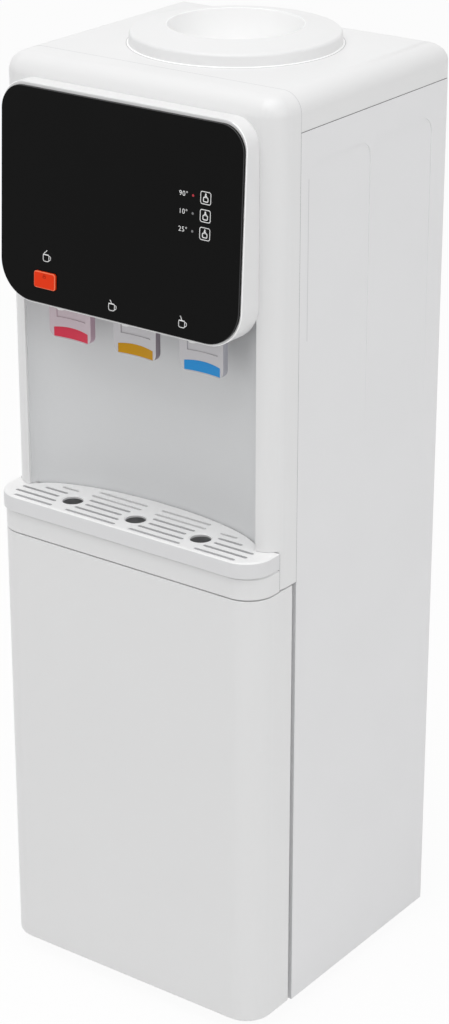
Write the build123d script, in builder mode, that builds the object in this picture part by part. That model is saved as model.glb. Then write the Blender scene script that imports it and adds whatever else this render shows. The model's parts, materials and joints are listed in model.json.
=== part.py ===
from build123d import *
import os
from math import cos, radians, sin, sqrt

# A floor-standing water cooler: bottle seat on top, three taps over a drip tray, and a
# storage cabinet with a door below.
# Millimetres. +Z up, -Y to the front, +X to the viewer's right. The origin is on the floor,
# under the middle of the bounding box.

os.makedirs("parts", exist_ok=True)

# ---- Body, seen from above ----
body_width = 310.0
cabinet_depth = 238.9      # side panels, front seam to rear flange
fascia_depth = 36.1        # front shell, ahead of the seam
door_depth = 59.0
door_gap = 6.1             # finger gap behind the door's edge
lip_overhang = 3.5         # tray lip ahead of the door
condenser_reach = 22.5     # back of the condenser behind the panels
shell_corner_r = 21.0
door_corner_r = 28.5
cover_edge_r = 19.0

# ---- Levels ----
foot_height = 15.0
door_height = 455.0
tray_height = 38.5
niche_height = 236.0
body_height = 918.0        # floor pan flange to the top of the cover
cover_height = 35.5
bay_height = 215.0         # compressor bay above the pan

# ---- Materials and general clearances ----
sheet = 1.2                # steel sheet
shell_wall = 2.5           # moulded plastic
flange = 11.0              # folded edges of the side panels
seat_gap = 0.3             # between pieces that rest near each other
slide_gap = 0.8            # round the drip tray
parting = 1.5              # door to tray line

half_width = body_width / 2
overall_depth = lip_overhang + door_depth + door_gap + cabinet_depth + condenser_reach
lip_front_y = -overall_depth / 2
door_front_y = lip_front_y + lip_overhang
door_back_y = door_front_y + door_depth
seam_y = door_back_y + door_gap
shell_front_y = seam_y - fascia_depth
back_y = seam_y + cabinet_depth
base_z = foot_height
door_top_z = base_z + door_height
tray_bottom_z = door_top_z + parting
tray_top_z = tray_bottom_z + tray_height
niche_top_z = tray_top_z + niche_height
top_z = base_z + body_height
cover_z = top_z - cover_height
inner_half = half_width - sheet
pan_top_z = base_z + 2 * sheet
bay_top_z = pan_top_z + bay_height


def level(z):
    """The horizontal plane at height z."""
    return Plane.XY.offset(z)


def facing_front(y):
    """The upright plane at y that faces forwards. Its axes are X and Z."""
    return Plane.XZ.offset(-y)


def facing_side(x):
    """The upright plane at x that faces +X. Its axes are Y and Z."""
    return Plane.YZ.offset(x)


def block(x, y, z, mode=Mode.ADD):
    """Adds or cuts a box that spans the given pairs, in any order."""
    spans = [sorted(pair) for pair in (x, y, z)]
    middle = tuple((low + high) / 2 for low, high in spans)
    size = [high - low for low, high in spans]
    with Locations(middle):
        Box(*size, mode=mode)


def disc(centre, radius, z_low, z_high, mode=Mode.ADD):
    """Adds or cuts an upright cylinder."""
    with Locations((*centre, (z_low + z_high) / 2)):
        Cylinder(radius, z_high - z_low, mode=mode)


def screw_holes(y_low, y_high):
    """Cuts the panel screws' holes through whatever lies between the two depths."""
    span = abs(y_high - y_low)
    for x, z in screw_places:
        with Locations((x, (y_low + y_high) / 2, z)):
            Cylinder(screw_r + screw_clearance, span, rotation=(90, 0, 0), mode=Mode.SUBTRACT)


def swept_tube(points, outer_r, bend_r, bore_r=0.0):
    """A tube along straight runs joined by bends of one radius."""
    with BuildPart() as tube:
        with BuildLine() as route:
            FilletPolyline(*points, radius=bend_r)
        start = route.line
        with BuildSketch(Plane(origin=start @ 0, z_dir=start % 0)):
            Circle(outer_r)
            if bore_r:
                Circle(bore_r, mode=Mode.SUBTRACT)
        sweep()
    return tube.part


def rounded_cap(half, front, rear, bottom, top, corner_r, edge_r):
    """A block with its corners at `front`, if corner_r, and its upper edges, save at `rear`, rounded."""
    with BuildPart() as cap:
        with BuildSketch(level(bottom)):
            with Locations((0, (front + rear) / 2)):
                Rectangle(2 * half, abs(rear - front))
            if corner_r:
                fillet(corners_at(front), corner_r)
        extrude(amount=top - bottom)
        upper = cap.edges().group_by(Axis.Z)[-1]
        fillet(upper.filter_by(lambda edge: abs(edge.center().Y - rear) > seat_gap), edge_r)
    return cap.part


def corners_at(line_y):
    """The corners of the sketch in hand that lie on the line y = line_y."""
    return vertices().filter_by(lambda corner: abs(corner.Y - line_y) < seat_gap)


def finish(builder, label):
    """Labels a finished piece and writes it."""
    builder.part.label = label
    export_step(builder.part, f"parts/{label}.step")


# ======================= Base =======================
foot_r = 15.0
foot_stud_r = 4.0
foot_stud_clearance = 0.4
foot_inset_x = 40.0
foot_inset_front = 24.0
foot_inset_rear = 26.0
pan_edge_height = 24.0
pan_front_y = seam_y + sheet
pan_back_y = back_y - sheet
pan_bottom_z = base_z + sheet
screw_r = 1.9
screw_head_r = 3.8
screw_head = 1.8
screw_length = 7.0
screw_clearance = 0.2
screw_inset = 6.0
screw_levels = (15.0, 440.0, 865.0)  # above the cabinet's lower edge
screw_places = [
    (side * (half_width - screw_inset), base_z + rise) for side in (-1, 1) for rise in screw_levels
]
foot_places = [
    (side * (half_width - foot_inset_x), y)
    for side in (-1, 1)
    for y in (seam_y + foot_inset_front, back_y - foot_inset_rear)
]

with BuildPart() as base_pan:
    with BuildSketch(level(pan_bottom_z)):
        with Locations((0, (pan_front_y + pan_back_y) / 2)):
            Rectangle(2 * inner_half, pan_back_y - pan_front_y)
    extrude(amount=sheet)
    with BuildSketch(level(pan_bottom_z)):
        with Locations((0, (pan_front_y + pan_back_y) / 2)):
            Rectangle(2 * inner_half, pan_back_y - pan_front_y)
            Rectangle(2 * (inner_half - sheet), pan_back_y - pan_front_y - 2 * sheet, mode=Mode.SUBTRACT)
    extrude(amount=pan_edge_height)
    with Locations(*[(x, y, pan_top_z) for x, y in foot_places]):
        Hole(foot_stud_r + foot_stud_clearance)
    screw_holes(pan_back_y - sheet, pan_back_y)
finish(base_pan, "base_pan")

with BuildPart() as feet:
    for place in foot_places:
        disc(place, foot_r, 0, pan_bottom_z)
        disc(place, foot_stud_r, pan_bottom_z, pan_top_z + foot_stud_r)
    chamfer(feet.edges().filter_by(GeomType.CIRCLE).group_by(Axis.Z)[0], foot_stud_clearance * 4)
finish(feet, "feet")


# ======================= Side and back panels =======================
field_depth = 0.7          # pressed fields in the side panels
field_width = 98.0
field_rib = 5.0
field_height = 300.0
field_drop = 30.0          # below the cover seam
field_corner_r = 16.0
field_front_inset = 12.5


def pressed_field(side, y_low):
    """One shallow pressed field, deepest along its upper edge and fading out downwards."""
    top = cover_z - field_drop
    face_x = side * half_width
    with BuildPart() as field:
        with BuildSketch(facing_side(face_x)):
            with Locations((y_low + field_width / 2, top - field_height / 2)):
                RectangleRounded(field_width, field_height, field_corner_r)
        extrude(amount=field_depth, both=True)
        with BuildSketch(facing_front(y_low)):
            with BuildLine():
                Polyline(
                    (face_x, top - field_height),
                    (face_x - side * field_depth, top),
                    (face_x + side * field_depth, top),
                    close=True,
                )
            make_face()
        extrude(amount=-field_width, mode=Mode.INTERSECT)
    return field.part


for side, panel_label in ((-1, "side_panel_left"), (1, "side_panel_right")):
    fields = [
        pressed_field(side, seam_y + field_front_inset + index * (field_width + field_rib))
        for index in range(2)
    ]
    outer_x = side * half_width
    fold_x = side * (half_width - flange)
    with BuildPart() as side_panel:
        block((side * inner_half, outer_x), (seam_y, back_y), (base_z, cover_z))
        block((fold_x, outer_x), (seam_y, seam_y + sheet), (base_z, cover_z))
        block((fold_x, outer_x), (back_y - sheet, back_y), (base_z, cover_z))
        block((fold_x, outer_x), (seam_y, back_y), (base_z, base_z + sheet))
        add(fields, mode=Mode.SUBTRACT)
        screw_holes(back_y - sheet, back_y)
    finish(side_panel, panel_label)

panel_back_y = back_y - sheet
panel_front_y = panel_back_y - sheet
vent_length = 60.0
vent_width = 4.5
vent_pitch = 11.0
vent_rows = 6
vent_drop = 40.0           # first row below the cover seam
switch_plate_size = (92.0, 44.0)
switch_plate_drop = 32.0
switch_inset = 75.0        # switch plate centre from the panel's side
drain_x = 40.0             # off the hot tank's middle
drain_rise = 16.0          # drain centre above the bay
drain_r = 9.0
drain_clearance = 0.3
switch_x = switch_inset - half_width
switch_z = cover_z - switch_plate_drop - switch_plate_size[1] / 2
drain_z = bay_top_z + drain_rise
switch_body_size = (74.0, 30.0)

with BuildPart() as back_panel:
    block((-inner_half, inner_half), (panel_front_y, panel_back_y), (bay_top_z, cover_z))
    with BuildSketch(facing_front(panel_back_y)):
        with Locations((-switch_x, cover_z - vent_drop - vent_pitch * (vent_rows - 1) / 2)):
            with GridLocations(0, vent_pitch, 1, vent_rows):
                SlotOverall(vent_length, vent_width)
        with Locations((switch_x, switch_z)):
            Rectangle(switch_body_size[0] + 1, switch_body_size[1] + 1)
        with Locations((drain_x, drain_z)):
            Circle(drain_r + drain_clearance)
    extrude(amount=sheet, mode=Mode.SUBTRACT)
    screw_holes(panel_front_y, panel_back_y)
finish(back_panel, "back_panel")


# ======================= Tray outlines, shared by shell, niche and tray =======================
niche_side = 21.0          # body beside the niche
niche_depth = 40.5
niche_wall = 2.0
cheek_depth = 9.4          # tray ends reach this far beside the cheeks
tray_end_y = shell_front_y + cheek_depth
niche_half = half_width - niche_side


def tray_outline(front, inset=0.0):
    """Adds the tray's outline to the sketch in hand: a front bar with round corners, and
    the half ellipse that fills the niche."""
    with Locations((0, shell_front_y)):
        Ellipse(niche_half - slide_gap - inset, niche_depth - slide_gap - inset)
    with Locations((0, shell_front_y - niche_depth)):
        Rectangle(body_width, 2 * niche_depth, mode=Mode.SUBTRACT)
    front_bar(front, inset)


def front_bar(front, inset=0.0):
    """Adds only the front bar of the tray's outline to the sketch in hand."""
    bar_front, bar_back = front + inset, tray_end_y - inset
    with Locations((0, (bar_front + bar_back) / 2)):
        Rectangle(2 * (half_width - inset), bar_back - bar_front)
    fillet(corners_at(bar_front), door_corner_r - inset)


# ======================= Front shell =======================
cheek_floor = 3.0
tap_pitch = 76.0
tap_rise = 22.0            # tap axis above the niche
tap_z = niche_top_z + tap_rise
tap_shank_r = 7.5
tap_hole_r = tap_shank_r + 0.4
tap_places = [("hot", -tap_pitch), ("warm", 0.0), ("cold", tap_pitch)]
hinge_pin_r = 3.0
hinge_inset_x = 9.0        # hinge axis from the door's left side
hinge_inset_y = 9.0        # hinge axis ahead of the door's rear edge
hinge_x = -half_width + hinge_inset_x
hinge_y = door_back_y - hinge_inset_y
pin_fit = 0.05             # radial running fit of every hinge pin

shell_outer = rounded_cap(
    half_width, shell_front_y, seam_y, tray_bottom_z, top_z, shell_corner_r, cover_edge_r
)
shell_inner = rounded_cap(
    half_width - shell_wall, shell_front_y + shell_wall, seam_y + shell_wall,
    tray_bottom_z - shell_wall, top_z - shell_wall,
    shell_corner_r - shell_wall, cover_edge_r - shell_wall,
)
with BuildPart() as front_shell:
    add(shell_outer)
    add(shell_inner, mode=Mode.SUBTRACT)
    block((-niche_half, niche_half), (shell_front_y, seam_y), (tray_bottom_z, niche_top_z), Mode.SUBTRACT)
    # room for the ends of the tray below the cheeks
    block(
        (-half_width, half_width), (shell_front_y, tray_end_y + slide_gap),
        (tray_bottom_z, tray_top_z + seat_gap), Mode.SUBTRACT,
    )
    for side in (-1, 1):
        cheek = (side * niche_half, side * (half_width - shell_wall / 2))
        block(cheek, (tray_end_y + slide_gap, seam_y), (tray_bottom_z, tray_bottom_z + cheek_floor))
        block(
            cheek, (tray_end_y + slide_gap, tray_end_y + slide_gap + shell_wall),
            (tray_bottom_z, tray_top_z + seat_gap),
        )
    with BuildSketch(facing_front(shell_front_y)):
        with Locations(*[(x, tap_z) for _, x in tap_places]):
            Circle(tap_hole_r)
    extrude(amount=-shell_wall, mode=Mode.SUBTRACT)
    disc(
        (hinge_x, hinge_y), hinge_pin_r + pin_fit, tray_bottom_z, tray_bottom_z + cheek_floor, Mode.SUBTRACT
    )
finish(front_shell, "front_shell")


# ======================= Niche panel =======================
niche_floor = 2.5
niche_floor_front = 16.0   # floor ahead of the cheeks, under the tray
niche_edge_y = shell_front_y + shell_wall + 0.2


def niche_plan(grow):
    """Adds the niche's half ellipse, grown by the given amount, to the sketch in hand."""
    with Locations((0, shell_front_y)):
        Ellipse(niche_half + grow, niche_depth + grow)
    with Locations((0, niche_edge_y - niche_depth)):
        Rectangle(body_width, 2 * niche_depth, mode=Mode.SUBTRACT)


with BuildPart() as niche_panel:
    with BuildSketch(level(tray_bottom_z)):
        niche_plan(niche_wall)
        with Locations((0, shell_front_y)):
            Ellipse(niche_half, niche_depth, mode=Mode.SUBTRACT)
    extrude(amount=niche_height + tray_height)
    with BuildSketch(level(niche_top_z)):
        niche_plan(niche_wall)
    extrude(amount=niche_wall)
    with BuildSketch(level(tray_bottom_z)):
        niche_plan(niche_wall)
        with Locations((0, niche_edge_y - niche_floor_front / 2)):
            Rectangle(2 * (niche_half - slide_gap), niche_floor_front)
    extrude(amount=niche_floor)
    # the ends of the tray pass in front of the cheeks
    block(
        (-half_width, half_width), (niche_edge_y, tray_end_y + slide_gap),
        (tray_bottom_z + niche_floor, tray_top_z + seat_gap), Mode.SUBTRACT,
    )
finish(niche_panel, "niche_panel")


# ======================= Console bezel, face plate, button, board =======================
plate_tilt = 3.02          # degrees, lower edge further forward
plate_setback = 1.8        # lower edge behind the tray lip
plate_drop = 33.5          # lower edge below the niche ceiling
plate_side = 19.4          # body beside the face plate
plate_height = 199.4
plate_thickness = 3.0
plate_top_r = 24.0
plate_bottom_r = 36.0
bezel_margin = 1.0         # bezel beyond the plate's sides
bezel_top_margin = 3.0
bezel_bottom_margin = 2.6
bezel_wall = 2.5
bezel_edge_r = 0.9
plate_width = body_width - 2 * plate_side
plate_low_y = lip_front_y + plate_setback
plate_low_z = niche_top_z - plate_drop
plate_plane = Plane(
    origin=(0, plate_low_y, plate_low_z),
    x_dir=(1, 0, 0),
    z_dir=(0, -cos(radians(plate_tilt)), sin(radians(plate_tilt))),
)
plate_high_z = plate_low_z + plate_height * cos(radians(plate_tilt))
lever_width = 49.0
lever_room = 1.6
spout_y = shell_front_y - 13.5
lever_opening_depth = 22.0


def plate_outline(inset=0.0):
    """Adds the face plate's outline to the sketch in hand, which lies in plate_plane."""
    with Locations((0, plate_height / 2)):
        Rectangle(plate_width - 2 * inset, plate_height - 2 * inset)
    round_top_and_bottom(plate_top_r - inset, plate_bottom_r - inset)


def round_top_and_bottom(top_r, bottom_r):
    """Rounds the two upper and the two lower corners of the sketch in hand."""
    fillet(vertices().sort_by(Axis.Y)[-2:], top_r)
    fillet(vertices().sort_by(Axis.Y)[:2], bottom_r)


def console_block(inset, setback):
    """The console's volume, from the shell forwards to a plane behind the plate's face."""
    low = plate_low_z - bezel_bottom_margin + inset
    high = plate_high_z + bezel_top_margin - inset
    width = plate_width + 2 * bezel_margin - 2 * inset
    with BuildPart() as volume:
        with BuildSketch(facing_front(shell_front_y)):
            with Locations((0, (low + high) / 2)):
                Rectangle(width, high - low)
            round_top_and_bottom(plate_top_r + bezel_margin - inset, plate_bottom_r + bezel_margin - inset)
        extrude(amount=2 * fascia_depth)
        split(bisect_by=plate_plane.offset(-setback), keep=Keep.BOTTOM)
    return volume.part


button_width = 25.0
button_height = 15.8
button_corner_r = 2.5
button_inset = 53.6        # button centre from the plate's left side
button_rise = 15.0         # lower edge of the button above the plate's lower edge
button_proud = 2.2
button_clearance = 0.35
button_flange = 2.0
button_flange_thickness = 1.5
led_inset = 52.6           # lights from the plate's right side
led_pitch = 16.0
led_rise = 99.5            # lowest light above the plate's lower edge
led_r = 1.5
led_clearance = 0.2
led_length = 5.0
board_size = (46.0, 62.0)
board_thickness = 1.6
board_gap = 5.5            # board behind the bezel's front wall
boss_r = 3.0
button_x = button_inset - plate_width / 2
led_x = plate_width / 2 - led_inset
button_s = button_rise + button_height / 2
led_places = [(led_x, led_rise + index * led_pitch) for index in range(3)]
board_s = led_rise + led_pitch
floor_plane = plate_plane.offset(-plate_thickness)
board_plane = floor_plane.offset(-bezel_wall - board_gap)
boss_places = [
    (led_x + sx * (board_size[0] / 2 - boss_r), board_s + sy * (board_size[1] / 2 - boss_r))
    for sx in (-1, 1)
    for sy in (-1, 1)
]

console_outer = console_block(0, plate_thickness)
console_inner = console_block(bezel_wall, plate_thickness + bezel_wall)
with BuildPart() as console_bezel:
    add(console_outer)
    fillet(console_bezel.faces().sort_by(Axis.Y)[0].edges(), bezel_edge_r)
    add(console_inner, mode=Mode.SUBTRACT)
    with BuildSketch(floor_plane):
        with Locations((button_x, button_s)):
            Rectangle(button_width + 2 * button_clearance, button_height + 2 * button_clearance)
        with Locations(*led_places):
            Circle(led_r + led_clearance)
    extrude(amount=-bezel_wall, mode=Mode.SUBTRACT)
    for _, x in tap_places:
        block(
            (x - lever_width / 2 - lever_room, x + lever_width / 2 + lever_room),
            (shell_front_y, shell_front_y - lever_opening_depth),
            (plate_low_z - bezel_bottom_margin, plate_low_z + bezel_wall), Mode.SUBTRACT,
        )
    with BuildSketch(floor_plane.offset(-bezel_wall)):
        with Locations(*boss_places):
            Circle(boss_r)
    extrude(amount=-board_gap)
finish(console_bezel, "console_bezel")

with BuildPart() as face_plate:
    with BuildSketch(plate_plane):
        plate_outline()
        with Locations((button_x, button_s)):
            RectangleRounded(
                button_width + 2 * button_clearance, button_height + 2 * button_clearance, button_corner_r,
                mode=Mode.SUBTRACT,
            )
    extrude(amount=-plate_thickness)
    chamfer(face_plate.faces().sort_by(Axis.Y)[0].outer_wire().edges(), 0.5)
finish(face_plate, "face_plate")

with BuildPart() as child_lock_button:
    with BuildSketch(plate_plane.offset(button_proud)):
        with Locations((button_x, button_s)):
            RectangleRounded(button_width, button_height, button_corner_r)
    extrude(amount=-(button_proud + plate_thickness + bezel_wall))
    fillet(child_lock_button.faces().sort_by(Axis.Y)[0].edges(), 0.9)
    with BuildSketch(floor_plane.offset(-bezel_wall)):
        with Locations((button_x, button_s)):
            Rectangle(button_width + 2 * button_flange, button_height + 2 * button_flange)
    extrude(amount=-button_flange_thickness)
finish(child_lock_button, "child_lock_button")

with BuildPart() as status_board:
    with BuildSketch(board_plane):
        with Locations((led_x, board_s)):
            Rectangle(*board_size)
    extrude(amount=-board_thickness)
    with BuildSketch(board_plane):
        with Locations(*led_places):
            Circle(led_r)
    extrude(amount=led_length + bezel_wall)
finish(status_board, "status_board")


# ======================= Taps: body, lever, label, plunger =======================
tap_flange_r = 12.5
tap_flange_thickness = 3.0
tap_shank_length = 28.0
tap_block_half = 11.0
tap_block_front = 20.5     # valve block ahead of the shell
tap_block_height = 32.0
tap_bore_r = 3.0
spout_r = 5.5
spout_bore_r = 3.5
spout_tip_below = 7.5      # below the plate's lower edge
tap_cap_r = 9.0
tap_cap_height = 4.0
pivot_ahead = 17.5         # lever pivot ahead of the shell
pivot_below = 11.0         # lever pivot below the tap axis
pivot_r = 2.0
pivot_stub = 7.0
arm_gap = 1.0
arm_width = 5.0
arm_head_r = 4.5
arm_foot_r = 3.0
plunger_ahead = 4.6        # plunger axis ahead of the shell
plunger_r = 3.0
plunger_length = 12.2
plunger_gap = 0.35
plunger_room = 3.4
crank_below = 9.0          # top of the crank bar below the pivot
crank_height = 4.0
crank_depth = 3.5
crank_clearance = 0.4      # behind the spout
paddle_front_ahead = 3.6   # paddle edges ahead of the shell
paddle_depth = 7.0
paddle_height = 49.0
paddle_below = 42.5        # paddle's lower edge below the plate
paddle_corner_r = 8.0
paddle_hollow = 3.0        # how far the middle is set back
paddle_pocket = 2.2
paddle_wall = 2.2
ledge_width = 34.0
ledge_rise = 20.5          # ledge above the paddle's lower edge
ledge_depth = 0.8
label_width = 40.0
label_height = 8.8
label_arch = 1.8
label_rise = 1.2
label_thickness = 1.0
label_clearance = 0.1

block_low_z = tap_z - tap_block_height / 2
block_high_z = block_low_z + tap_block_height
pivot_y = shell_front_y - pivot_ahead
pivot_z = tap_z - pivot_below
plunger_y = shell_front_y - plunger_ahead
crank_top_z = pivot_z - crank_below
plunger_low_z = crank_top_z + plunger_gap
spout_low_z = plate_low_z - spout_tip_below
paddle_low_z = plate_low_z - paddle_below
crank_front_y = spout_y + spout_r + crank_clearance
crank_back_y = crank_front_y + crank_depth
paddle_front_y = shell_front_y - paddle_front_ahead
paddle_back_y = paddle_front_y + paddle_depth
hollow_r = ((lever_width / 2) ** 2 + paddle_hollow**2) / (2 * paddle_hollow)
hollow_y = paddle_front_y + paddle_hollow - hollow_r
shank_end_y = shell_front_y + tap_shank_length


def paddle_skin(x, half, low, high, arch, thickness):
    """A strip with an arched top that follows the hollow face of a lever's paddle."""
    with BuildPart() as strip:
        with BuildSketch(facing_front(paddle_back_y)):
            with BuildLine():
                Polyline((x - half, high), (x - half, low), (x + half, low), (x + half, high))
                ThreePointArc((x + half, high), (x, high + arch), (x - half, high))
            make_face()
        extrude(amount=paddle_depth)
        disc((x, hollow_y), hollow_r + thickness, low - arch, high + 2 * arch, Mode.INTERSECT)
        disc((x, hollow_y), hollow_r, low - arch, high + 2 * arch, Mode.SUBTRACT)
    return strip.part


for tap, tap_x in tap_places:
    with BuildPart() as tap_body:
        block(
            (tap_x - tap_block_half, tap_x + tap_block_half),
            (shell_front_y - tap_block_front, shell_front_y), (block_low_z, block_high_z),
        )
        fillet(tap_body.edges().filter_by(Axis.Z).group_by(Axis.Y)[0], 4)
        with BuildSketch(facing_front(shell_front_y)):
            with Locations((tap_x, tap_z)):
                Circle(tap_flange_r)
        extrude(amount=tap_flange_thickness)
        with BuildSketch(facing_front(shell_front_y)):
            with Locations((tap_x, tap_z)):
                Circle(tap_shank_r)
        extrude(amount=-tap_shank_length)
        disc((tap_x, spout_y), spout_r, spout_low_z, block_low_z)
        disc((tap_x, spout_y), tap_cap_r - 2, block_high_z, block_high_z + tap_cap_height)
        disc((tap_x, spout_y), spout_bore_r, spout_low_z, tap_z, Mode.SUBTRACT)
        with BuildSketch(facing_front(shank_end_y)):
            with Locations((tap_x, tap_z)):
                Circle(tap_bore_r)
        extrude(amount=shank_end_y - spout_y, mode=Mode.SUBTRACT)
        disc(
            (tap_x, plunger_y), plunger_r + pin_fit, block_low_z,
            plunger_low_z + plunger_length + plunger_room, Mode.SUBTRACT,
        )
        for side in (-1, 1):
            with BuildSketch(facing_side(tap_x + side * tap_block_half)):
                with Locations((pivot_y, pivot_z)):
                    Circle(pivot_r)
            extrude(amount=side * pivot_stub)
    finish(tap_body, f"tap_body_{tap}")

    label_low = paddle_low_z + label_rise
    label_recess = paddle_skin(
        tap_x, label_width / 2 + label_clearance, label_low - label_clearance,
        label_low + label_height + label_clearance, label_arch, label_thickness + label_clearance,
    )
    upper_recess = paddle_skin(
        tap_x, ledge_width / 2, paddle_low_z + ledge_rise, paddle_low_z + 2 * paddle_height,
        label_arch, ledge_depth,
    )
    arm_inner = tap_block_half + arm_gap
    with BuildPart() as lever:
        # paddle, hollow in front for the rim of a cup
        with BuildSketch(facing_front(paddle_back_y)):
            with Locations((tap_x, paddle_low_z + paddle_height / 2)):
                Rectangle(lever_width, paddle_height)
            fillet(vertices().sort_by(Axis.Y)[:2], paddle_corner_r)
        extrude(amount=paddle_depth)
        disc((tap_x, hollow_y), hollow_r, paddle_low_z, paddle_low_z + paddle_height, Mode.SUBTRACT)
        with BuildSketch(facing_front(paddle_back_y)):
            with Locations((tap_x, paddle_low_z + paddle_height / 2)):
                Rectangle(lever_width - 2 * paddle_wall, paddle_height - 2 * paddle_wall)
            fillet(vertices().sort_by(Axis.Y)[:2], paddle_corner_r - paddle_wall)
        extrude(amount=paddle_pocket, mode=Mode.SUBTRACT)
        add([label_recess, upper_recess], mode=Mode.SUBTRACT)
        # arms up to the pivot, either side of the valve block
        for side in (-1, 1):
            arm_x = tap_x + side * arm_inner
            with BuildSketch(facing_side(arm_x)):
                with Locations((pivot_y, pivot_z)):
                    Circle(arm_head_r)
                foot_z = paddle_low_z + paddle_height - arm_foot_r
                with Locations((paddle_back_y - paddle_depth / 2, foot_z)):
                    Circle(arm_foot_r)
                make_hull()
                with Locations((pivot_y, pivot_z)):
                    Circle(pivot_r + pin_fit, mode=Mode.SUBTRACT)
            extrude(amount=side * arm_width)
            block(
                (arm_x, arm_x + side * arm_width),
                (crank_front_y - arm_head_r, crank_back_y),
                (crank_top_z - crank_height, crank_top_z),
            )
        block(
            (tap_x - arm_inner, tap_x + arm_inner), (crank_front_y, crank_back_y),
            (crank_top_z - crank_height, crank_top_z),
        )
    finish(lever, f"lever_{tap}")

    with BuildPart() as lever_label:
        add(paddle_skin(
            tap_x, label_width / 2, label_low, label_low + label_height, label_arch, label_thickness
        ))
    finish(lever_label, f"lever_label_{tap}")

    with BuildPart() as plunger:
        disc((tap_x, plunger_y), plunger_r, plunger_low_z, plunger_low_z + plunger_length)
    finish(plunger, f"valve_plunger_{tap}")

nut_thickness = 6.0
nut_across = 24.0
with BuildPart() as tap_nuts:
    with BuildSketch(facing_front(shell_front_y + shell_wall)):
        with Locations(*[(x, tap_z) for _, x in tap_places]):
            RegularPolygon(nut_across / 2, 6, major_radius=False)
            Circle(tap_shank_r + seat_gap, mode=Mode.SUBTRACT)
    extrude(amount=-nut_thickness)
finish(tap_nuts, "tap_nuts")


# ======================= Drip tray and its lid =======================
lip_drop = 16.0            # lid lip below the tray top
lip_wall = 2.2
lid_thickness = 3.0
lid_edge_r = 2.4
tray_wall = 2.5
tray_cove = 2.2            # bevel of the skirt below the lip
grate_rows = 6
slot_pitch = 10.2
slot_width = 3.5
slot_start = 24.0          # first row ahead of the ellipse's middle line, counted backwards
slot_rib = 8.2             # half gap round the rib lines
slot_ring_gap = 16.2       # slot ends from a hole's centre
slot_margin_x = 16.0
slot_margin_y = 11.5
slot_bar_margin = 18.0
slot_corner_margin = slot_bar_margin / 3.5
hole_r = 10.0
hole_countersink = 1.1
hole_ahead = 5.5           # cup holes ahead of the shell

basin_low_z = tray_bottom_z + niche_floor + seat_gap
basin_floor_z = basin_low_z + tray_wall
lip_low_z = tray_top_z - lip_drop
lid_low_z = tray_top_z - lid_thickness
neck_inset = lip_wall + 2 * seat_gap
hole_y = shell_front_y - hole_ahead
hole_places = [(x, hole_y) for _, x in tap_places]

with BuildPart() as drip_tray:
    with BuildSketch(level(basin_low_z)):
        tray_outline(door_front_y)
    extrude(amount=lip_low_z - seat_gap - basin_low_z)
    chamfer(drip_tray.faces().sort_by(Axis.Z)[-1].outer_wire().edges(), tray_cove)
    with BuildSketch(level(basin_low_z)):
        tray_outline(door_front_y, neck_inset)
    extrude(amount=lid_low_z - basin_low_z)
    with BuildSketch(level(basin_floor_z)):
        tray_outline(door_front_y, neck_inset + tray_wall)
    extrude(amount=tray_height, mode=Mode.SUBTRACT)
    # skirt below the basin's floor, open towards the niche
    with BuildSketch(level(tray_bottom_z)):
        front_bar(door_front_y)
    extrude(amount=basin_low_z - tray_bottom_z)
    with BuildSketch(level(tray_bottom_z)):
        front_bar(door_front_y, tray_wall)
    extrude(amount=basin_low_z - tray_bottom_z, mode=Mode.SUBTRACT)
    block(
        (-niche_half - neck_inset, niche_half + neck_inset),
        (niche_edge_y - niche_floor_front - slide_gap, seam_y),
        (tray_bottom_z, basin_low_z), Mode.SUBTRACT,
    )
finish(drip_tray, "drip_tray")


def slot_reach(y):
    """Half the length that slots may fill at this y: inside the ellipse or the front bar."""
    if y > shell_front_y:
        rise = (y - shell_front_y) / (niche_depth - slot_margin_y)
        return (niche_half - slot_margin_x) * sqrt(1 - rise**2)
    corner_y = lip_front_y + door_corner_r
    bar_half = half_width - slot_bar_margin
    inner_r = door_corner_r - slot_corner_margin
    if y > corner_y:
        return bar_half
    return min(bar_half, half_width - door_corner_r + sqrt(inner_r**2 - (corner_y - y) ** 2))


def slot_spans(y):
    """The (start, end) pairs of one row of slots on the +X side."""
    reach = slot_reach(y)
    spans = []
    for low, high in ((0, tap_pitch), (tap_pitch, half_width)):
        start, end = low + slot_rib, min(high - slot_rib, reach)
        for hole_x in (0, tap_pitch):
            near = slot_ring_gap**2 - (y - hole_y) ** 2
            if near > 0:
                if start < hole_x + sqrt(near) and hole_x <= low:
                    start = max(start, hole_x + sqrt(near))
                if end > hole_x - sqrt(near) and hole_x >= high:
                    end = min(end, hole_x - sqrt(near))
        if end - start > 3 * slot_width:
            spans.append((start, end))
    return spans


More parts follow.
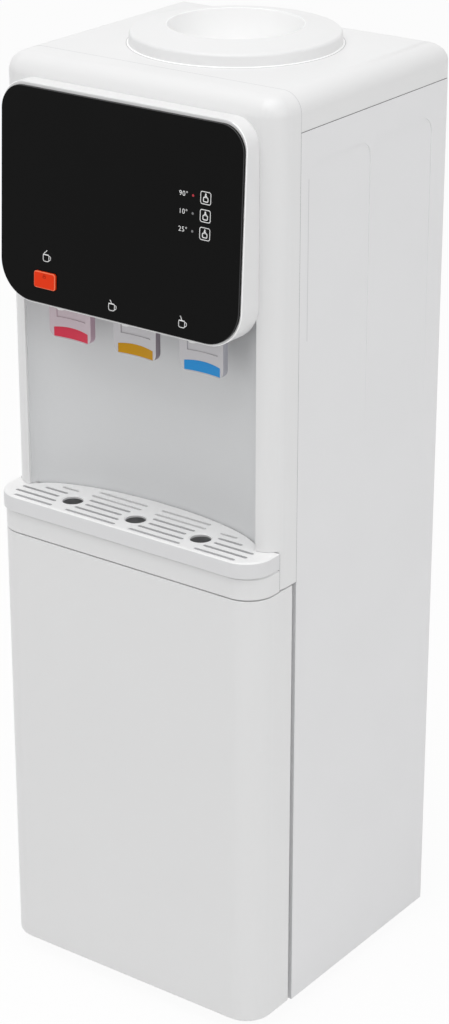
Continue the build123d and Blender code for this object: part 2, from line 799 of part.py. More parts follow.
with BuildPart() as drip_grate:
    with BuildSketch(level(lid_low_z)):
        tray_outline(lip_front_y)
    extrude(amount=lid_thickness)
    with BuildSketch(level(lip_low_z)):
        front_bar(lip_front_y)
    extrude(amount=lid_low_z - lip_low_z)
    with BuildSketch(level(lip_low_z)):
        front_bar(lip_front_y, lip_wall)
    extrude(amount=lid_low_z - lip_low_z, mode=Mode.SUBTRACT)
    block(
        (-half_width + lip_wall, half_width - lip_wall), (tray_end_y - 2 * lip_wall, seam_y),
        (lip_low_z, lid_low_z), Mode.SUBTRACT,
    )
    fillet(drip_grate.faces().sort_by(Axis.Z)[-1].outer_wire().edges(), lid_edge_r)
    for hole_place in hole_places:
        disc(hole_place, hole_r, lid_low_z, tray_top_z, Mode.SUBTRACT)
    chamfer(
        drip_grate.edges().filter_by(GeomType.CIRCLE).filter_by(lambda edge: edge.radius == hole_r)
        .group_by(Axis.Z)[-1], hole_countersink,
    )
    with BuildSketch(level(lid_low_z)):
        for row in range(grate_rows):
            row_y = shell_front_y + slot_start - row * slot_pitch
            for start, end in slot_spans(row_y):
                with Locations(((start + end) / 2, row_y), (-(start + end) / 2, row_y)):
                    SlotOverall(end - start, slot_width)
    extrude(amount=lid_thickness, mode=Mode.SUBTRACT)
finish(drip_grate, "drip_grate")


# ======================= Top cover and bottle seat =======================
seat_setback = 117.4       # bottle axis behind the seam
cover_wall = 2.5
cover_hole_r = 84.0
ring_base_r = 99.3
ring_top_r = 95.0
ring_rise = 12.0
rim_rise = 17.5
rim_r = 63.0
rim_round = 1.3
seat_wall = 2.6
bowl_mid_r = 50.0
bowl_mid_drop = 34.0
funnel_r = 27.0
funnel_drop = 62.0
tube_length = 14.0
tube_r = funnel_r - 2.0
probe_ledge = 3.0
tank_y = seam_y + seat_setback
ring_top_z = top_z + ring_rise
rim_z = top_z + rim_rise
funnel_z = rim_z - funnel_drop
tube_end_z = funnel_z - tube_length

cover_outer = rounded_cap(half_width, back_y, seam_y, cover_z, top_z, 0, cover_edge_r)
cover_inner = rounded_cap(
    half_width - cover_wall, back_y - cover_wall, seam_y - cover_wall, cover_z - cover_wall,
    top_z - cover_wall, 0, cover_edge_r - cover_wall,
)
with BuildPart() as top_cover:
    add(cover_outer)
    add(cover_inner, mode=Mode.SUBTRACT)
    disc((0, tank_y), cover_hole_r, cover_z, top_z, Mode.SUBTRACT)
finish(top_cover, "top_cover")

with BuildPart() as bottle_seat:
    with BuildSketch(facing_front(tank_y)):
        with BuildLine():
            # outer wall, sloping top, rim, bowl and tube, then back along the underside
            Polyline((ring_base_r, top_z), (ring_base_r - 0.8, ring_top_z - 3))
            ThreePointArc(
                (ring_base_r - 0.8, ring_top_z - 3), (ring_top_r + 2.2, ring_top_z - 0.6),
                (ring_top_r, ring_top_z),
            )
            Line((ring_top_r, ring_top_z), (rim_r + rim_round, rim_z))
            ThreePointArc(
                (rim_r + rim_round, rim_z), (rim_r + 0.2, rim_z - 0.5), (rim_r, rim_z - rim_round)
            )
            ThreePointArc(
                (rim_r, rim_z - rim_round), (bowl_mid_r, rim_z - bowl_mid_drop), (funnel_r, funnel_z)
            )
            Polyline(
                (funnel_r, funnel_z), (tube_r, tube_end_z + probe_ledge),
                (tube_r - probe_ledge, tube_end_z + probe_ledge), (tube_r - probe_ledge, tube_end_z),
                (tube_r + seat_wall, tube_end_z), (funnel_r + seat_wall, funnel_z),
            )
            ThreePointArc(
                (funnel_r + seat_wall, funnel_z),
                (bowl_mid_r + seat_wall, rim_z - bowl_mid_drop - seat_wall / 2),
                (rim_r + seat_wall, rim_z - rim_round - seat_wall),
            )
            Polyline(
                (rim_r + seat_wall, rim_z - rim_round - seat_wall),
                (ring_top_r - seat_wall / 2, ring_top_z - seat_wall),
                (ring_base_r - seat_wall, ring_top_z - 3 - seat_wall), (ring_base_r - seat_wall, top_z),
                (ring_base_r, top_z),
            )
        make_face()
    revolve(axis=Axis((0, tank_y, 0), (0, 0, 1)))
finish(bottle_seat, "bottle_seat")

probe_r = 9.0
probe_height = 43.0
probe_window = 7.0
probe_fin = 2.4
probe_fins = 3
probe_clearance = 0.6
probe_base_z = tube_end_z + probe_ledge
with BuildPart() as bottle_probe:
    disc((0, tank_y), probe_r, probe_base_z, probe_base_z + probe_height)
    fillet(bottle_probe.edges().filter_by(GeomType.CIRCLE).group_by(Axis.Z)[-1], probe_r * 0.7)
    with Locations((0, tank_y, probe_base_z)):
        with PolarLocations(0, probe_fins):
            Box(
                tube_r - probe_clearance, probe_fin, probe_window,
                align=(Align.MIN, Align.CENTER, Align.MIN),
            )
    disc((0, tank_y), probe_r - 2, probe_base_z, probe_base_z + probe_height * 0.6, Mode.SUBTRACT)
    block(
        (-probe_window / 2, probe_window / 2), (tank_y - probe_r, tank_y + probe_r),
        (probe_base_z + 2 * probe_window, probe_base_z + probe_height * 0.7), Mode.SUBTRACT,
    )
finish(bottle_probe, "bottle_probe")


# ======================= Storage cabinet, hinges, door =======================
liner_wall = 2.0
liner_side_gap = 15.8      # beside the liner, to the side panels
liner_half = inner_half - liner_side_gap
liner_floor_z = base_z + 31.0
liner_top_drop = 16.5      # ceiling below the parting line
liner_depth = 168.0        # upper part, from the seam
liner_low_depth = 88.0     # lower part, ahead of the compressor bay
liner_front_y = seam_y + sheet
liner_ceiling_z = tray_bottom_z - liner_top_drop
liner_flange_z = pan_bottom_z + pan_edge_height + seat_gap
liner_step_z = bay_top_z + liner_wall

with BuildPart() as storage_liner:
    block((-inner_half + seat_gap, inner_half - seat_gap), (liner_front_y, liner_front_y + liner_wall),
          (liner_flange_z, tray_bottom_z))
    block(
        (-liner_half - liner_wall, liner_half + liner_wall),
        (liner_front_y, seam_y + liner_depth + liner_wall), (bay_top_z, liner_ceiling_z + liner_wall),
    )
    block(
        (-liner_half - liner_wall, liner_half + liner_wall),
        (liner_front_y, seam_y + liner_low_depth + liner_wall), (liner_floor_z - liner_wall, bay_top_z),
    )
    block(
        (-liner_half, liner_half), (liner_front_y, seam_y + liner_depth),
        (liner_step_z, liner_ceiling_z), Mode.SUBTRACT,
    )
    block(
        (-liner_half, liner_half), (liner_front_y, seam_y + liner_low_depth),
        (liner_floor_z, liner_step_z), Mode.SUBTRACT,
    )
finish(storage_liner, "storage_liner")

hinge_plate = 3.0
hinge_plate_width = 20.0
hinge_plate_reach = 36.0   # behind the seam
hinge_pin_engaged = 14.0
hinge_boss = 8.0
bracket_low_z = base_z - seat_gap - hinge_plate
with BuildPart() as lower_hinge_bracket:
    block(
        (-inner_half, -inner_half + hinge_plate_width), (hinge_y - hinge_boss, seam_y + hinge_plate_reach),
        (bracket_low_z, base_z - seat_gap),
    )
    block(
        (-inner_half, -inner_half + hinge_plate_width), (seam_y, seam_y + hinge_plate_reach),
        (base_z - seat_gap, base_z),
    )
    disc((hinge_x, hinge_y), hinge_pin_r, bracket_low_z, base_z + hinge_pin_engaged)
finish(lower_hinge_bracket, "lower_hinge_bracket")

hinge_head_r = 5.0
with BuildPart() as upper_hinge_pin:
    disc((hinge_x, hinge_y), hinge_pin_r, door_top_z - hinge_pin_engaged, tray_bottom_z + cheek_floor)
    disc(
        (hinge_x, hinge_y), hinge_head_r, tray_bottom_z + cheek_floor,
        tray_bottom_z + cheek_floor + hinge_plate,
    )
finish(upper_hinge_pin, "upper_hinge_pin")

door_wall = 2.5
door_bottom_r = 4.0
door_top_r = 1.0
liner_panel = 2.5
liner_rib_inset = 50.0
liner_rib_half = half_width - liner_rib_inset
liner_rib = 2.0


def door_block(inset, low, high):
    """The door's volume with two rounded front corners, its rear left open by the inset."""
    with BuildPart() as volume:
        front = door_front_y + inset
        with BuildSketch(level(low)):
            with Locations((0, (front + door_back_y) / 2)):
                Rectangle(2 * (half_width - inset), door_back_y - front)
            fillet(corners_at(front), door_corner_r - inset)
        extrude(amount=high - low)
    return volume.part


with BuildPart() as door_panel:
    add(door_block(0, base_z, door_top_z))
    outer_rims = [
        edges.filter_by(lambda edge: edge.center().Y < door_back_y - seat_gap)
        for edges in (door_panel.edges().group_by(Axis.Z)[0], door_panel.edges().group_by(Axis.Z)[-1])
    ]
    fillet(outer_rims[0], door_bottom_r)
    fillet(outer_rims[1], door_top_r)
    add(door_block(door_wall, base_z + door_wall, door_top_z - door_wall), mode=Mode.SUBTRACT)
    for low, high in (
        (base_z + door_wall, base_z + 2 * hinge_pin_engaged),
        (door_top_z - 2 * hinge_pin_engaged, door_top_z - door_wall),
    ):
        block(
            (-half_width + door_wall / 2, hinge_x + hinge_boss),
            (hinge_y - hinge_boss, door_back_y - liner_panel - seat_gap), (low, high),
        )
    disc(
        (hinge_x, hinge_y), hinge_pin_r + pin_fit, base_z, base_z + hinge_pin_engaged + slide_gap,
        Mode.SUBTRACT,
    )
    disc(
        (hinge_x, hinge_y), hinge_pin_r + pin_fit, door_top_z - hinge_pin_engaged - slide_gap, door_top_z,
        Mode.SUBTRACT,
    )
finish(door_panel, "door_panel")

panel_half = half_width - door_wall - seat_gap
panel_low_z = base_z + door_wall + seat_gap
panel_high_z = door_top_z - door_wall - seat_gap
with BuildPart() as door_liner:
    block((-panel_half, panel_half), (door_back_y - liner_panel, door_back_y), (panel_low_z, panel_high_z))
    with BuildSketch(facing_front(door_back_y - liner_panel)):
        with Locations((0, (panel_low_z + panel_high_z) / 2)):
            RectangleRounded(2 * liner_rib_half, door_height * 0.8, field_corner_r)
            RectangleRounded(
                2 * (liner_rib_half - liner_rib), door_height * 0.8 - 2 * liner_rib,
                field_corner_r - liner_rib, mode=Mode.SUBTRACT,
            )
    extrude(amount=2 * liner_rib)
finish(door_liner, "door_liner")

catch_inset = 55.0
catch_x = half_width - catch_inset
catch_width = 32.0
catch_height = 12.0
strike_thickness = 1.2
strike_width = 28.0
strike_height = 9.0
catch_gap = 0.4
catch_z = panel_high_z - strike_height / 2
with BuildPart() as door_strike:
    block(
        (catch_x - strike_width / 2, catch_x + strike_width / 2),
        (door_back_y, door_back_y + strike_thickness),
        (catch_z - strike_height / 2, catch_z + strike_height / 2),
    )
finish(door_strike, "door_strike")

with BuildPart() as door_catch:
    block(
        (catch_x - catch_width / 2, catch_x + catch_width / 2),
        (door_back_y + strike_thickness + catch_gap, liner_front_y),
        (catch_z - catch_height / 2, catch_z + catch_height / 2),
    )
    fillet(door_catch.edges().filter_by(Axis.Z), slide_gap)
finish(door_catch, "door_catch")


# ======================= Tanks, frame and hoses =======================
frame_half_x = 92.0
frame_half_y = 90.0
frame_leg = 12.0
deck_rise = 6.5            # deck above the parting line
deck_drop_edge = 12.0
deck_behind = 90.0         # deck behind the bottle axis
deck_ahead = 106.0
tank_r = 66.0
tank_wall = 1.0
tank_height = 222.0
foam_inner_r = 73.5
foam_outer_r = 90.0
foam_floor = 12.0
lid_plate = 6.0
collar_r = 31.0
collar_gap = 0.5
baffle_r = 58.0
baffle_tube_r = 14.0
coil_tube_r = 3.0
coil_pitch = 12.0
coil_turns = 12
coil_rise = 16.0
hot_r = 50.0
hot_height = 125.0
hot_behind = 39.0          # hot tank behind the bottle axis
jacket = 12.0
stub_r = 5.0
stub_clearance = 0.5
hose_r = 5.0
hose_bore_r = 3.2
hose_bend = 8.0
hose_setback = 14.4        # upright hoses behind the seam
hose_drop_y = seam_y + hose_setback
frame_rise = 149.0
stub_bore_r = 3.0

deck_z = tray_bottom_z + deck_rise
frame_top_z = deck_z + sheet + frame_rise
tank_z = frame_top_z + foam_floor
tank_top_z = tank_z + tank_height
lid_top_z = tank_top_z + lid_plate
hot_y = tank_y + hot_behind
hot_z = deck_z + sheet + jacket
hot_top_z = hot_z + hot_height
warm_z = tank_top_z - 32.0
cold_out = (20.0, tank_y - 52.0)
feed_out = (46.0, tank_y - 36.0)
bottom_stub_z = frame_top_z - 10.0
side_out_x = 27.0
hot_out_z = hot_top_z - 15.0
feed_in_z = hot_z + 15.0
hot_stub_y = hot_y - 60.0
drain_stub_y = hot_y + 52.0
warm_stub_y = tank_y - foam_outer_r - 4.0

with BuildPart() as tank_frame:
    deck_front_y, deck_back_y = tank_y - deck_ahead, tank_y + deck_behind
    block(
        (-inner_half + seat_gap, inner_half - seat_gap), (deck_front_y, deck_back_y),
        (deck_z, deck_z + sheet),
    )
    for side in (-1, 1):
        edge_x = side * (inner_half - seat_gap)
        block(
            (edge_x, edge_x - side * sheet), (deck_front_y, deck_back_y),
            (deck_z - liner_wall, deck_z + deck_drop_edge),
        )
        for y_side in (-1, 1):
            leg_x, leg_y = side * frame_half_x, tank_y + y_side * frame_half_y
            block(
                (leg_x, leg_x - side * frame_leg), (leg_y, leg_y - y_side * sheet), (deck_z, frame_top_z)
            )
            block(
                (leg_x, leg_x - side * sheet), (leg_y, leg_y - y_side * frame_leg), (deck_z, frame_top_z)
            )
    block(
        (-frame_half_x, frame_half_x), (tank_y - frame_half_y, tank_y + frame_half_y),
        (frame_top_z - sheet, frame_top_z),
    )
    for outlet in (cold_out, feed_out):
        disc(outlet, stub_r + stub_clearance, frame_top_z - sheet, frame_top_z, Mode.SUBTRACT)
finish(tank_frame, "tank_frame")

with BuildPart() as cold_tank:
    disc((0, tank_y), tank_r, tank_z, tank_top_z)
    for outlet in (cold_out, feed_out):
        disc(outlet, stub_r, bottom_stub_z, tank_z)
    with BuildSketch(facing_front(tank_y)):
        with Locations((0, warm_z)):
            Circle(stub_r)
    extrude(amount=tank_y - warm_stub_y)
    disc((0, tank_y), tank_r - tank_wall, tank_z + tank_wall, tank_top_z, Mode.SUBTRACT)
    for outlet in (cold_out, feed_out):
        disc(outlet, stub_bore_r, bottom_stub_z, tank_z + tank_wall, Mode.SUBTRACT)
    with BuildSketch(facing_front(tank_y)):
        with Locations((0, warm_z)):
            Circle(stub_bore_r)
    extrude(amount=tank_y - warm_stub_y, mode=Mode.SUBTRACT)
finish(cold_tank, "cold_tank")

baffle_z = tank_top_z - tank_height * 0.3
with BuildPart() as cold_tank_lid:
    disc((0, tank_y), tank_r, tank_top_z, lid_top_z)
    disc((0, tank_y), collar_r, lid_top_z, tube_end_z + tube_length * 0.6)
    disc((0, tank_y), baffle_tube_r + tank_wall, tank_top_z - tank_height * 0.6, tank_top_z)
    disc((0, tank_y), baffle_r, baffle_z, baffle_z + tank_wall * 2)
    disc((0, tank_y), baffle_tube_r, tank_top_z - tank_height * 0.6, lid_top_z, Mode.SUBTRACT)
    disc(
        (0, tank_y), funnel_r + seat_wall - 1 + collar_gap, lid_top_z, tube_end_z + tube_length,
        Mode.SUBTRACT,
    )
finish(cold_tank_lid, "cold_tank_lid")

coil_r = tank_r + seat_gap + coil_tube_r
coil_low_z = tank_z + coil_rise
coil_top_z = coil_low_z + coil_turns * coil_pitch
coil_exit_x = foam_outer_r + 5.0
with BuildPart() as evaporator_coil:
    with BuildLine(Plane.XY.move(Location((0, tank_y, coil_low_z)))):
        Helix(coil_pitch, coil_turns * coil_pitch, coil_r)
    with BuildSketch(facing_front(tank_y)):
        with Locations((coil_r, coil_low_z)):
            Circle(coil_tube_r)
    sweep(is_frenet=True)
    for z in (coil_low_z, coil_top_z):
        with BuildSketch(facing_side(coil_r)):
            with Locations((tank_y, z)):
                Circle(coil_tube_r)
        extrude(amount=coil_exit_x - coil_r)
finish(evaporator_coil, "evaporator_coil")

with BuildPart() as cold_tank_foam:
    disc((0, tank_y), foam_outer_r, frame_top_z, tank_top_z)
    disc((0, tank_y), foam_inner_r, tank_z, tank_top_z, Mode.SUBTRACT)
    for outlet in (cold_out, feed_out):
        disc(outlet, stub_r + stub_clearance, frame_top_z, tank_z, Mode.SUBTRACT)
    with BuildSketch(facing_front(tank_y)):
        with Locations((0, warm_z)):
            Circle(stub_r + stub_clearance)
    extrude(amount=tank_y - warm_stub_y, mode=Mode.SUBTRACT)
    with BuildSketch(facing_side(coil_r)):
        with Locations((tank_y, coil_low_z), (tank_y, coil_top_z)):
            Circle(coil_tube_r + stub_clearance)
    extrude(amount=foam_outer_r - coil_r + 1, mode=Mode.SUBTRACT)
finish(cold_tank_foam, "cold_tank_foam")

side_stubs = ((-side_out_x, hot_out_z), (side_out_x, feed_in_z))
with BuildPart() as hot_tank:
    disc((0, hot_y), hot_r, hot_z, hot_top_z)
    with BuildSketch(facing_front(hot_y)):
        with Locations(*side_stubs):
            Circle(stub_r)
    extrude(amount=hot_y - hot_stub_y)
    with BuildSketch(facing_front(hot_y)):
        with Locations((drain_x, feed_in_z)):
            Circle(stub_r)
    extrude(amount=hot_y - drain_stub_y)
    disc((0, hot_y), hot_r - tank_wall, hot_z + tank_wall, hot_top_z - tank_wall, Mode.SUBTRACT)
    with BuildSketch(facing_front(hot_y)):
        with Locations(*side_stubs):
            Circle(stub_bore_r)
    extrude(amount=hot_y - hot_stub_y, mode=Mode.SUBTRACT)
    with BuildSketch(facing_front(hot_y)):
        with Locations((drain_x, feed_in_z)):
            Circle(stub_bore_r)
    extrude(amount=hot_y - drain_stub_y, mode=Mode.SUBTRACT)
finish(hot_tank, "hot_tank")

with BuildPart() as hot_tank_jacket:
    disc((0, hot_y), hot_r + jacket, deck_z + sheet, hot_top_z + jacket / 2)
    disc((0, hot_y), hot_r + seat_gap, hot_z, hot_top_z + seat_gap, Mode.SUBTRACT)
    with BuildSketch(facing_front(hot_y)):
        with Locations(*side_stubs):
            Circle(stub_r + stub_clearance)
    extrude(amount=hot_y - hot_stub_y, mode=Mode.SUBTRACT)
    with BuildSketch(facing_front(hot_y)):
        with Locations((drain_x, feed_in_z)):
            Circle(stub_r + stub_clearance)
    extrude(amount=hot_y - drain_stub_y, mode=Mode.SUBTRACT)
finish(hot_tank_jacket, "hot_tank_jacket")

cross_z = frame_top_z - 28.0
hose_routes = {
    "hot": [
        (-tap_pitch, shank_end_y, tap_z), (-tap_pitch, hose_drop_y, tap_z),
        (-tap_pitch, hose_drop_y, hot_out_z), (-side_out_x, hose_drop_y, hot_out_z),
        (-side_out_x, hot_stub_y, hot_out_z),
    ],
    "warm": [
        (0, shank_end_y, tap_z), (0, hose_drop_y - 2, tap_z), (0, hose_drop_y - 2, warm_z),
        (0, warm_stub_y, warm_z),
    ],
    "cold": [
        (tap_pitch, shank_end_y, tap_z), (tap_pitch, hose_drop_y, tap_z),
        (tap_pitch, hose_drop_y, cross_z), (cold_out[0], hose_drop_y, cross_z),
        (*cold_out, cross_z), (*cold_out, bottom_stub_z),
    ],
}
with BuildPart() as tap_hoses:
    for route_points in hose_routes.values():
        add(swept_tube(route_points, hose_r, hose_bend, hose_bore_r))
finish(tap_hoses, "tap_hoses")

with BuildPart() as feed_hose:
    add(swept_tube(
        [
            (*feed_out, bottom_stub_z), (*feed_out, feed_in_z), (side_out_x, feed_out[1], feed_in_z),
            (side_out_x, hot_stub_y, feed_in_z),
        ],
        hose_r, hose_bend, hose_bore_r,
    ))
finish(feed_hose, "feed_hose")

drain_tube_r = 6.0
drain_drop_y = drain_stub_y + 16.0
drain_top_z = drain_z + 24.0
drain_end = 9.0            # spout behind the panels
drain_flange = 3.0
cap_wall = 2.0
cap_engaged = 7.0
with BuildPart() as drain_hose:
    add(swept_tube(
        [
            (drain_x, drain_stub_y, feed_in_z), (drain_x, drain_drop_y, feed_in_z),
            (drain_x, drain_drop_y, drain_top_z),
        ],
        hose_r, hose_bend, hose_bore_r,
    ))
finish(drain_hose, "drain_hose")

with BuildPart() as drain_spout:
    add(swept_tube(
        [
            (drain_x, drain_drop_y, drain_top_z), (drain_x, drain_drop_y, drain_z),
            (drain_x, panel_back_y + drain_end, drain_z),
        ],
        drain_tube_r, hose_bend, hose_bore_r,
    ))
    with BuildSketch(facing_front(panel_back_y)):
        with Locations((drain_x, drain_z)):
            Circle(drain_r + drain_flange)
            Circle(drain_tube_r - sheet, mode=Mode.SUBTRACT)
    extrude(amount=-drain_flange / 2)
finish(drain_spout, "drain_spout")

with BuildPart() as drain_cap:
    with BuildSketch(facing_front(panel_back_y + drain_end + cap_wall)):
        with Locations((drain_x, drain_z)):
            Circle(drain_r)
    extrude(amount=cap_engaged + cap_wall)
    fillet(drain_cap.faces().sort_by(Axis.Y)[-1].edges(), sheet)
    with BuildSketch(facing_front(panel_back_y + drain_end)):
        with Locations((drain_x, drain_z)):
            Circle(drain_tube_r + seat_gap)
    extrude(amount=cap_engaged, mode=Mode.SUBTRACT)
finish(drain_cap, "drain_cap")


# ======================= Switches and mains inlet =======================
rocker_width = 14.0
rocker_height = 21.0
rocker_tilt = 8.0
rocker_gap = 0.6
rocker_back = 5.0          # pivot ahead of the plate's face
rocker_thickness = 4.5
rocker_pin_r = 1.5
inlet_width = 27.0
inlet_height = 19.5
inlet_wall = 2.0
inlet_pin_pitch = 7.0
inlet_pin_rise = 2.0
inlet_pin_width = 2.0
plate_lip = 2.0
switch_depth = 22.0
rocker_offsets = {"heating": 26.0, "cooling": 7.0}
inlet_offset = -20.0
switch_face_y = panel_back_y + plate_lip
rocker_y = switch_face_y - rocker_back

with BuildPart() as switch_plate:
    block(
        (switch_x - switch_plate_size[0] / 2, switch_x + switch_plate_size[0] / 2),
        (panel_back_y, switch_face_y),
        (switch_z - switch_plate_size[1] / 2, switch_z + switch_plate_size[1] / 2),
    )
    block(
        (switch_x - switch_body_size[0] / 2, switch_x + switch_body_size[0] / 2),
        (switch_face_y - switch_depth, panel_back_y),
        (switch_z - switch_body_size[1] / 2, switch_z + switch_body_size[1] / 2),
    )
    for offset in rocker_offsets.values():
        middle_x = switch_x + offset
        well_half = rocker_width / 2 + rocker_gap
        well_rise = rocker_height / 2 + rocker_gap
        block(
            (middle_x - well_half, middle_x + well_half),
            (rocker_y - 2 * rocker_thickness, switch_face_y),
            (switch_z - well_rise, switch_z + well_rise), Mode.SUBTRACT,
        )
        for side in (-1, 1):
            with BuildSketch(facing_side(middle_x + side * well_half)):
                with Locations((rocker_y, switch_z)):
                    Circle(rocker_pin_r)
            extrude(amount=-side * 2 * rocker_gap)
    inlet_x = switch_x + inlet_offset
    inlet_floor_y = switch_face_y - switch_depth + inlet_wall
    block(
        (inlet_x - inlet_width / 2, inlet_x + inlet_width / 2), (inlet_floor_y, switch_face_y),
        (switch_z - inlet_height / 2, switch_z + inlet_height / 2), Mode.SUBTRACT,
    )
    # the middle pin of the three stands higher than the outer two
    for place in (-1, 0, 1):
        pin_x = inlet_x + place * inlet_pin_pitch
        pin_z = switch_z + (inlet_pin_rise if place == 0 else -inlet_pin_rise)
        block(
            (pin_x - inlet_pin_width / 2, pin_x + inlet_pin_width / 2),
            (inlet_floor_y, switch_face_y - rocker_back),
            (pin_z - inlet_pin_width, pin_z + inlet_pin_width),
        )
finish(switch_plate, "switch_plate")

for rocker_name, offset in rocker_offsets.items():
    tilt = radians(rocker_tilt)
    rocker_plane = Plane(
        origin=(switch_x + offset - rocker_width / 2, rocker_y, switch_z),
        x_dir=(0, cos(tilt), sin(tilt)), z_dir=(1, 0, 0),
    )
    with BuildPart() as rocker:
        with BuildSketch(rocker_plane):
            with BuildLine():
                face_x = rocker_back - 1.0
                half = rocker_height / 2 - 1.0
                Polyline((face_x, half), (face_x - rocker_thickness, half * 0.8), (-rocker_thickness, 0))
                Polyline((-rocker_thickness, 0), (face_x - rocker_thickness, -half * 0.8), (face_x, -half))
                ThreePointArc((face_x, -half), (face_x - 1.2, 0), (face_x, half))
            make_face()
            Circle(rocker_pin_r + pin_fit, mode=Mode.SUBTRACT)
        extrude(amount=rocker_width)
    finish(rocker, f"{rocker_name}_rocker")


# ======================= Refrigeration =======================
compressor_r = 55.0
compressor_y = tank_y + 49.0
compressor_rise = 12.6     # foot plate above the pan
compressor_can = 150.0
can_seam = 6.0             # welded band round the can
compressor_plate = 3.0
can_edge_r = 24.0
plate_half = 62.0
mount_inset = 10.0
mount_r = 10.0
mount_neck_r = 5.0
mount_cap = 3.0
port_r = 4.0
port_z_drop = 40.0
port_spacing = 43.0
line_r = 2.5
capillary_r = 1.2
line_bend = 9.0
bay_line_inset = 13.5
bay_line_y = back_y - bay_line_inset
suction_reach = 11.0
capillary_spacing = 12.0
suction_x = coil_exit_x + suction_reach
capillary_x = suction_x + capillary_spacing
plate_z = pan_top_z + compressor_rise
can_z = plate_z + compressor_plate
can_seam_z = can_z + compressor_can / 2
can_top_z = can_z + compressor_can
port_z = can_top_z - port_z_drop
port_x = compressor_r + 5.0
mount_places = [
    (sx * (plate_half - mount_inset), compressor_y + sy * (plate_half - mount_inset))
    for sx in (-1, 1)
    for sy in (-1, 1)
]

with BuildPart() as compressor:
    disc((0, compressor_y), compressor_r, plate_z, can_top_z)
    fillet(compressor.edges().filter_by(GeomType.CIRCLE).group_by(Axis.Z)[-1], can_edge_r)
    disc((0, compressor_y), compressor_r + sheet, can_seam_z, can_seam_z + can_seam)
    block(
        (-plate_half, plate_half), (compressor_y - plate_half, compressor_y + plate_half), (plate_z, can_z)
    )
    with BuildSketch(facing_side(0)):
        with Locations((compressor_y, port_z), (compressor_y, port_z - port_spacing)):
            Circle(port_r)
    extrude(amount=port_x)
    with BuildSketch(level(plate_z)):
        with Locations(*mount_places):
            Circle(mount_neck_r + seat_gap)
    extrude(amount=compressor_plate, mode=Mode.SUBTRACT)
finish(compressor, "compressor")

with BuildPart() as compressor_mounts:
    for place in mount_places:
        disc(place, mount_r, pan_top_z, plate_z)
        disc(place, mount_neck_r, plate_z, can_z)
        disc(place, mount_neck_r + mount_cap - 1, can_z, can_z + mount_cap)
finish(compressor_mounts, "compressor_mounts")

condenser_half = 115.0
condenser_low = 62.0       # lowest run above the bay
condenser_pitch = 44.0
condenser_rows = 11
condenser_tube_r = 2.5
wire_r = 0.8
wire_pitch = 9.0
wire_half = 99.0
wire_overrun = 8.0
condenser_y = back_y + condenser_reach - 2 * wire_r - condenser_tube_r
run_z = [bay_top_z + condenser_low + row * condenser_pitch for row in range(condenser_rows)]
entry_x = condenser_half + 5.0
condenser_points = [(-entry_x, condenser_y, run_z[0])]
for row in range(condenser_rows - 1):
    side = 1 if row % 2 == 0 else -1
    condenser_points += [(side * condenser_half, condenser_y, z) for z in run_z[row:row + 2]]
condenser_points.append((entry_x, condenser_y, run_z[-1]))
with BuildPart() as condenser_tube:
    add(swept_tube(condenser_points, condenser_tube_r, line_bend))
finish(condenser_tube, "condenser_tube")

wire_count = int(2 * wire_half / wire_pitch) + 1
wire_length = run_z[-1] - run_z[0] + 2 * wire_overrun
wire_offset = condenser_tube_r + wire_r
with BuildPart() as condenser_wires:
    with Locations((0, condenser_y, (run_z[0] + run_z[-1]) / 2)):
        with GridLocations(wire_pitch, 2 * wire_offset, wire_count, 2):
            Cylinder(wire_r, wire_length)
finish(condenser_wires, "condenser_wires")

bracket_width = 12.0
bracket_half = 8.0
bracket_rows = (1, condenser_rows - 2)
bracket_arm_x = condenser_half - 8.0
with BuildPart() as condenser_brackets:
    for side in (-1, 1):
        for row in bracket_rows:
            foot_x = side * (half_width - sheet)
            riser_x = side * (half_width - sheet - bracket_width)
            span_z = (run_z[row] - bracket_half, run_z[row] + bracket_half)
            arm_y = condenser_y - condenser_tube_r - sheet
            block((foot_x, riser_x), (back_y, back_y + sheet), span_z)
            block((riser_x, riser_x + side * sheet), (back_y, arm_y + sheet), span_z)
            block((side * bracket_arm_x, riser_x + side * sheet), (arm_y, arm_y + sheet), span_z)
finish(condenser_brackets, "condenser_brackets")

drier_r = 9.0
drier_length = 60.0
drier_x = -condenser_half
drier_y = bay_line_y
drier_z = pan_top_z + 80.0
with BuildPart() as filter_drier:
    disc((drier_x, drier_y), drier_r, drier_z, drier_z + drier_length)
    fillet(filter_drier.edges().filter_by(GeomType.CIRCLE), drier_r * 0.6)
finish(filter_drier, "filter_drier")

